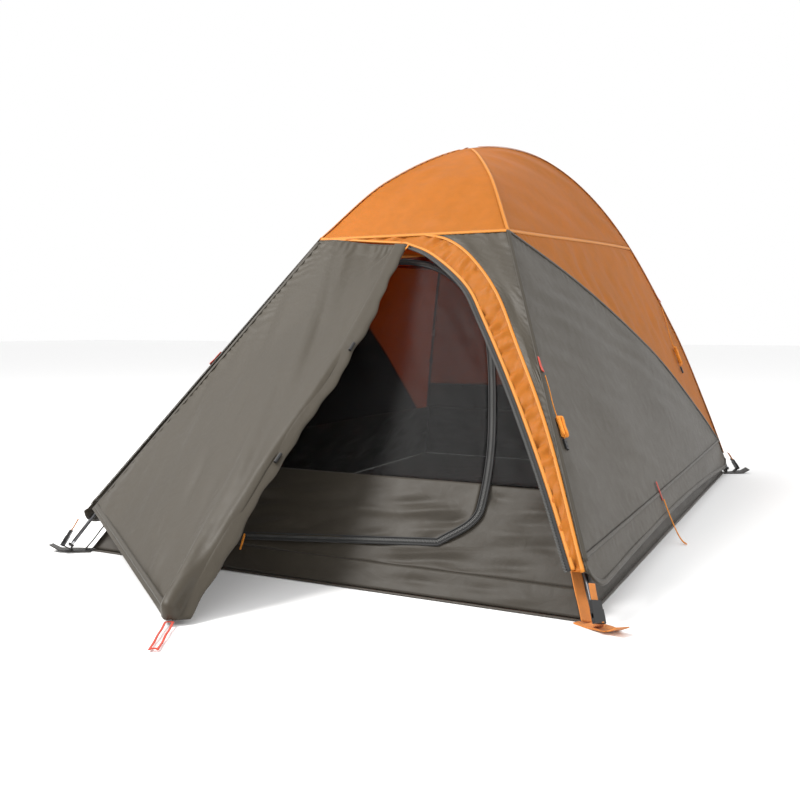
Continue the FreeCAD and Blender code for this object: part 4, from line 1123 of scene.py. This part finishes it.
def ribbon(line, normals, wide, lift, shift=0.0):
    """Points, u and v of a narrow strip that follows a line, lifted off the cloth under it."""
    line, normals = np.asarray(line, float), np.asarray(normals, float)
    along = np.gradient(line, axis=0)
    along /= np.linalg.norm(along, axis=1, keepdims=True)
    across = np.cross(along, normals)
    across /= np.linalg.norm(across, axis=1, keepdims=True)
    rise = np.array([0.0, 0.9, 1.0, 0.9, 0.0])
    offsets = np.linspace(-0.5, 0.5, 5) * wide + shift
    points = np.stack(
        [line + across * o + normals * (lift * (0.35 + 0.65 * r)) for o, r in zip(offsets, rise)], axis=1
    )
    run = np.concatenate([[0], np.cumsum(np.linalg.norm(np.diff(line, axis=0), axis=1))])
    u = np.repeat(run[:, None], 5, axis=1)
    v = np.repeat((offsets - shift)[None], len(line), axis=0)
    return points, u, v


def wall_line(wall, v, f):
    """A line on a wall and the wall's outward normals along it."""
    v, f = np.broadcast_arrays(np.asarray(v, float), np.asarray(f, float))
    at = wall(v, f)
    normal = np.cross(wall(v, f + 0.004) - wall(v, f - 0.004), wall(v + 0.01, f) - wall(v - 0.01, f))
    normal /= np.linalg.norm(normal, axis=-1, keepdims=True)
    normal[np.einsum("ij,ij->i", normal, at - INSIDE) < 0] *= -1
    return at, normal


def trim(name, strips, material, slot, body="tent", nodes=(), thick=0.0007):
    bundle = Bundle()
    for points, u, v in strips:
        bundle.add(points, thick, u, v)
    return finish_piece(bundle.build(name, material), body, slot, *nodes)


SEAM_LIFT = 0.0014


def flap_hems():
    """The turned hem along the flap's foot and the sewn edge beside the ridge."""
    strips = []
    share = np.linspace(0.01, 0.94, 90)
    for across, down in ((share, np.full_like(share, 0.985)), (np.full_like(share, 0.012), share)):
        line = flap_point(across, down)
        side = flap_point(across + 0.02, down) - line
        fall = flap_point(across, down + 0.01) - line
        normal = np.cross(side, fall)
        normal /= np.linalg.norm(normal, axis=1, keepdims=True)
        normal[normal[:, 2] < 0] *= -1
        strips.append(ribbon(line, normal, 0.012, THREAD_LIFT + 0.001))
    return strips


def build_seams():
    orange, dark = [], []
    share = np.linspace(0, 1, 140)
    for side in (-1, 1):
        wall = fly.side_wall(side)
        orange.append(ribbon(*wall_line(wall, share, roof_seam(share)), 0.011, SEAM_LIFT))
        dark.append(ribbon(*wall_line(wall, share, colour_seam(share)), 0.010, SEAM_LIFT))
        dark.append(ribbon(*wall_line(wall, share, band_seam(share)), 0.009, SEAM_LIFT))
        dark.append(ribbon(*wall_line(wall, share, hem(share) - 0.004), 0.012, 0.0016))
        for end, low in ((-1, SEAM), (1, SIDE_SEAM)):
            f = np.linspace(APEX_PATCH, low, 70)
            line = fly.ridge(side, end, f)
            a = wall_line(wall, np.full_like(f, 0.0 if end < 0 else 1.0), f)[1]
            b = wall_line(fly.end_wall(end), np.full_like(f, 0.0 if side < 0 else 1.0), f)[1]
            middle = (a + b) / np.linalg.norm(a + b, axis=1, keepdims=True)
            orange.append(ribbon(line, middle, 0.010, SEAM_LIFT))
            f = np.linspace(low, 0.985, 110)
            line = fly.ridge(side, end, f)
            a = wall_line(wall, np.full_like(f, 0.0 if end < 0 else 1.0), f)[1]
            b = wall_line(fly.end_wall(end), np.full_like(f, 0.0 if side < 0 else 1.0), f)[1]
            middle = (a + b) / np.linalg.norm(a + b, axis=1, keepdims=True)
            (dark if end < 0 else orange).append(ribbon(line, middle, 0.011, SEAM_LIFT))
    orange.append(ribbon(*wall_line(fly.end_wall(-1), share, np.full_like(share, SEAM)), 0.011, SEAM_LIFT))
    rear = fly.end_wall(1)
    orange.append(ribbon(*wall_line(rear, share, np.full_like(share, SIDE_SEAM)), 0.011, SEAM_LIFT))
    dark.append(ribbon(*wall_line(rear, share, np.full_like(share, REAR_SPLIT)), 0.010, SEAM_LIFT))
    dark.append(ribbon(*wall_line(rear, share, rear_hem(share) - 0.004), 0.012, 0.0016))
    trim("seams_orange", orange, ORANGE_SEAM, "orange_fabric")
    trim("flap_seams", flap_hems(), DARK_SEAM, "dark_fabric", "flap")
    trim("seams_dark", dark, DARK_SEAM, "dark_fabric")

    def plane_strip(plane, edge, wide, lift, shift, t=share):
        xz = edge(t)
        line = plane.at(xz[:, 0], xz[:, 1])
        return ribbon(line, np.repeat(plane.out[None], len(t), 0), wide, lift, shift)

    lead = (-RIDGE_TOP_X, SEAM_HIGH - 0.001)
    long = np.linspace(0, 1, 260)
    inner_edge, outer_edge = rail(ARCH_INNER, lead), rail(ARCH_OUTER)
    arch = [
        plane_strip(fly_front, outer_edge, 0.009, SEAM_LIFT, 0.0),
        plane_strip(fly_front, inner_edge, 0.009, 0.0016, -0.005, long),
    ]
    trim("seams_arch", arch, ORANGE_SEAM, "orange_fabric")
    tape = [plane_strip(fly_front, rail(ARCH_INNER), 0.012, 0.0012, 0.006, long)]
    trim("vestibule_zip_tape", tape, MATERIALS["zipper_tape"], "zipper_tape", nodes=["vestibule_zip"])
    coils("vestibule_zip_coil", fly_front, rail(ARCH_INNER)(long), 0.0102)
    door = np.stack([ZIP_LINE[:, 0], ZIP_LINE[:, 1]], -1)
    line = inner_front.at(door[:, 0], door[:, 1])
    out = np.repeat(inner_front.out[None], len(line), 0)
    strips = [ribbon(line, out, 0.019, 0.0026), ribbon(line, out, 0.0035, 0.0042, 0.0078), ribbon(line, out, 0.0035, 0.0042, -0.0078)]
    trim("door_zip_tape", strips, MATERIALS["zipper_tape"], "zipper_tape", nodes=["door_zip"])
    coils("door_zip_coil", inner_front, door, 0.0)


def coils(name, plane, line, shift):
    """A zipper's teeth: a row of small bars across the tape, alternating side to side."""
    run = np.concatenate([[0], np.cumsum(np.linalg.norm(np.diff(plane.at(line[:, 0], line[:, 1]), axis=0), axis=1))])
    count = int(run[-1] / 0.0032)
    want = np.linspace(0, run[-1], count)
    x, z = np.interp(want, run, line[:, 0]), np.interp(want, run, line[:, 1])
    centre = plane.at(x, z, 0.0034)
    along = np.gradient(centre, axis=0)
    along /= np.linalg.norm(along, axis=1, keepdims=True)
    across = np.cross(along, plane.out)
    stagger = np.where(np.arange(count) % 2 == 0, 0.0007, -0.0007)
    centre = centre + across * (shift + stagger)[:, None]
    verts, faces = [], []
    for a, b, c in ((-1, -1, 0), (1, -1, 0), (1, 1, 0), (-1, 1, 0), (-0.8, -0.6, 1), (0.8, -0.6, 1), (0.8, 0.6, 1), (-0.8, 0.6, 1)):
        verts.append(centre + across * (a * 0.0027) + along * (b * 0.0011) + plane.out * (c * 0.0015))
    verts = np.stack(verts, 1).reshape(-1, 3)
    for quad in ((3, 2, 1, 0), (4, 5, 6, 7), (0, 1, 5, 4), (1, 2, 6, 5), (2, 3, 7, 6), (3, 0, 4, 7)):
        faces.append(np.arange(count)[:, None] * 8 + np.array(quad))
    mesh = bpy.data.meshes.new(name)
    mesh.from_pydata(verts.tolist(), [], np.concatenate(faces).tolist())
    mesh.materials.append(COIL)
    piece = bpy.data.objects.new(name, mesh)
    bpy.context.collection.objects.link(piece)
    finish_piece(piece, "tent", "zipper_tape")


def islands(bm):
    """The vertices of each separate solid in a mesh."""
    left = set(bm.verts)
    while left:
        group, edge = set(), [next(iter(left))]
        while edge:
            vert = edge.pop()
            if vert not in group:
                group.add(vert)
                edge += [e.other_vert(vert) for e in vert.link_edges]
        left -= group
        yield sorted(group, key=lambda v: v.index)


def soften(node, name, body, slot, wave=0.0006, curl=0.0, material=None):
    """Webbing from a frame solid's own outline: rounded edges, a little slack and a curled end."""
    bm = bmesh.new()
    bm.from_mesh(frame["nodes"][node].data)
    bmesh.ops.remove_doubles(bm, verts=bm.verts, dist=1e-6)
    bmesh.ops.dissolve_limit(bm, angle_limit=0.02, verts=bm.verts, edges=bm.edges)
    sharp = [e for e in bm.edges if len(e.link_faces) == 2 and e.calc_face_angle(0) > 0.7]
    bmesh.ops.bevel(bm, geom=sharp, offset=0.0005, segments=2, affect="EDGES", clamp_overlap=True)
    bmesh.ops.triangulate(bm, faces=bm.faces)
    for _ in range(6):
        long = [e for e in bm.edges if e.calc_length() > 0.005]
        if not long:
            break
        bmesh.ops.subdivide_edges(bm, edges=long, cuts=1)
        bmesh.ops.triangulate(bm, faces=[f for f in bm.faces if len(f.verts) > 3])
    bm.normal_update()
    bm.verts.index_update()
    layer = bm.loops.layers.uv.new("cloth")
    rng = np.random.default_rng(len(node))
    for group in islands(bm):
        places = np.array([v.co for v in group])
        centre = places.mean(axis=0)
        ways = np.linalg.svd(places - centre, full_matrices=False)[2]
        phase = rng.uniform(0, 6.28)
        for vert, place in zip(group, places):
            along, across = (place - centre) @ ways[0], (place - centre) @ ways[1]
            for loop in vert.link_loops:
                loop[layer].uv = (along, across)
            sway = wave * math.sin(along * 95 + phase) * (0.6 + 0.4 * math.sin(across * 160 + phase))
            vert.co += Vector(ways[2]) * sway
            reach = math.hypot(place[0], place[1]) - math.hypot(HALF_WIDE, HALF_LONG) - 0.02
            if curl and reach > 0 and place[2] < 0.02:
                vert.co.z += curl * reach * reach
            vert.co.z = max(vert.co.z, 0.0002)
    mesh = bpy.data.meshes.new(name)
    bm.to_mesh(mesh)
    bm.free()
    mesh.polygons.foreach_set("use_smooth", np.ones(len(mesh.polygons), bool))
    mesh.materials.append(material or MATERIALS[slot])
    piece = bpy.data.objects.new(name, mesh)
    bpy.context.collection.objects.link(piece)
    return finish_piece(piece, body, slot, node)


def build_webbing():
    for corner, slot in (("fl", "dark"), ("fr", "orange"), ("rl", "orange"), ("rr", "dark")):
        soften(f"corner_patch_{corner}", f"corner_webbing_{corner}", "tent", f"{slot}_webbing", curl=2.2)
        soften(f"fly_strap_{corner}", f"strap_webbing_{corner}", f"prong_{corner}", "orange_webbing")
    soften("fly_webbing_loops", "guy_loops", "tent", "red_webbing", wave=0.0004)
    soften("vestibule_stake_loop", "stake_loop", "flap", "red_webbing", wave=0.0012)
    soften("door_zip_pull", "door_pull_cord", "door_pull", "orange_cord", wave=0.0003)
    soften("vestibule_zip_pull", "flap_pull_cord", "flap_pull", "orange_cord", wave=0.0003)


build_seams()
build_webbing()
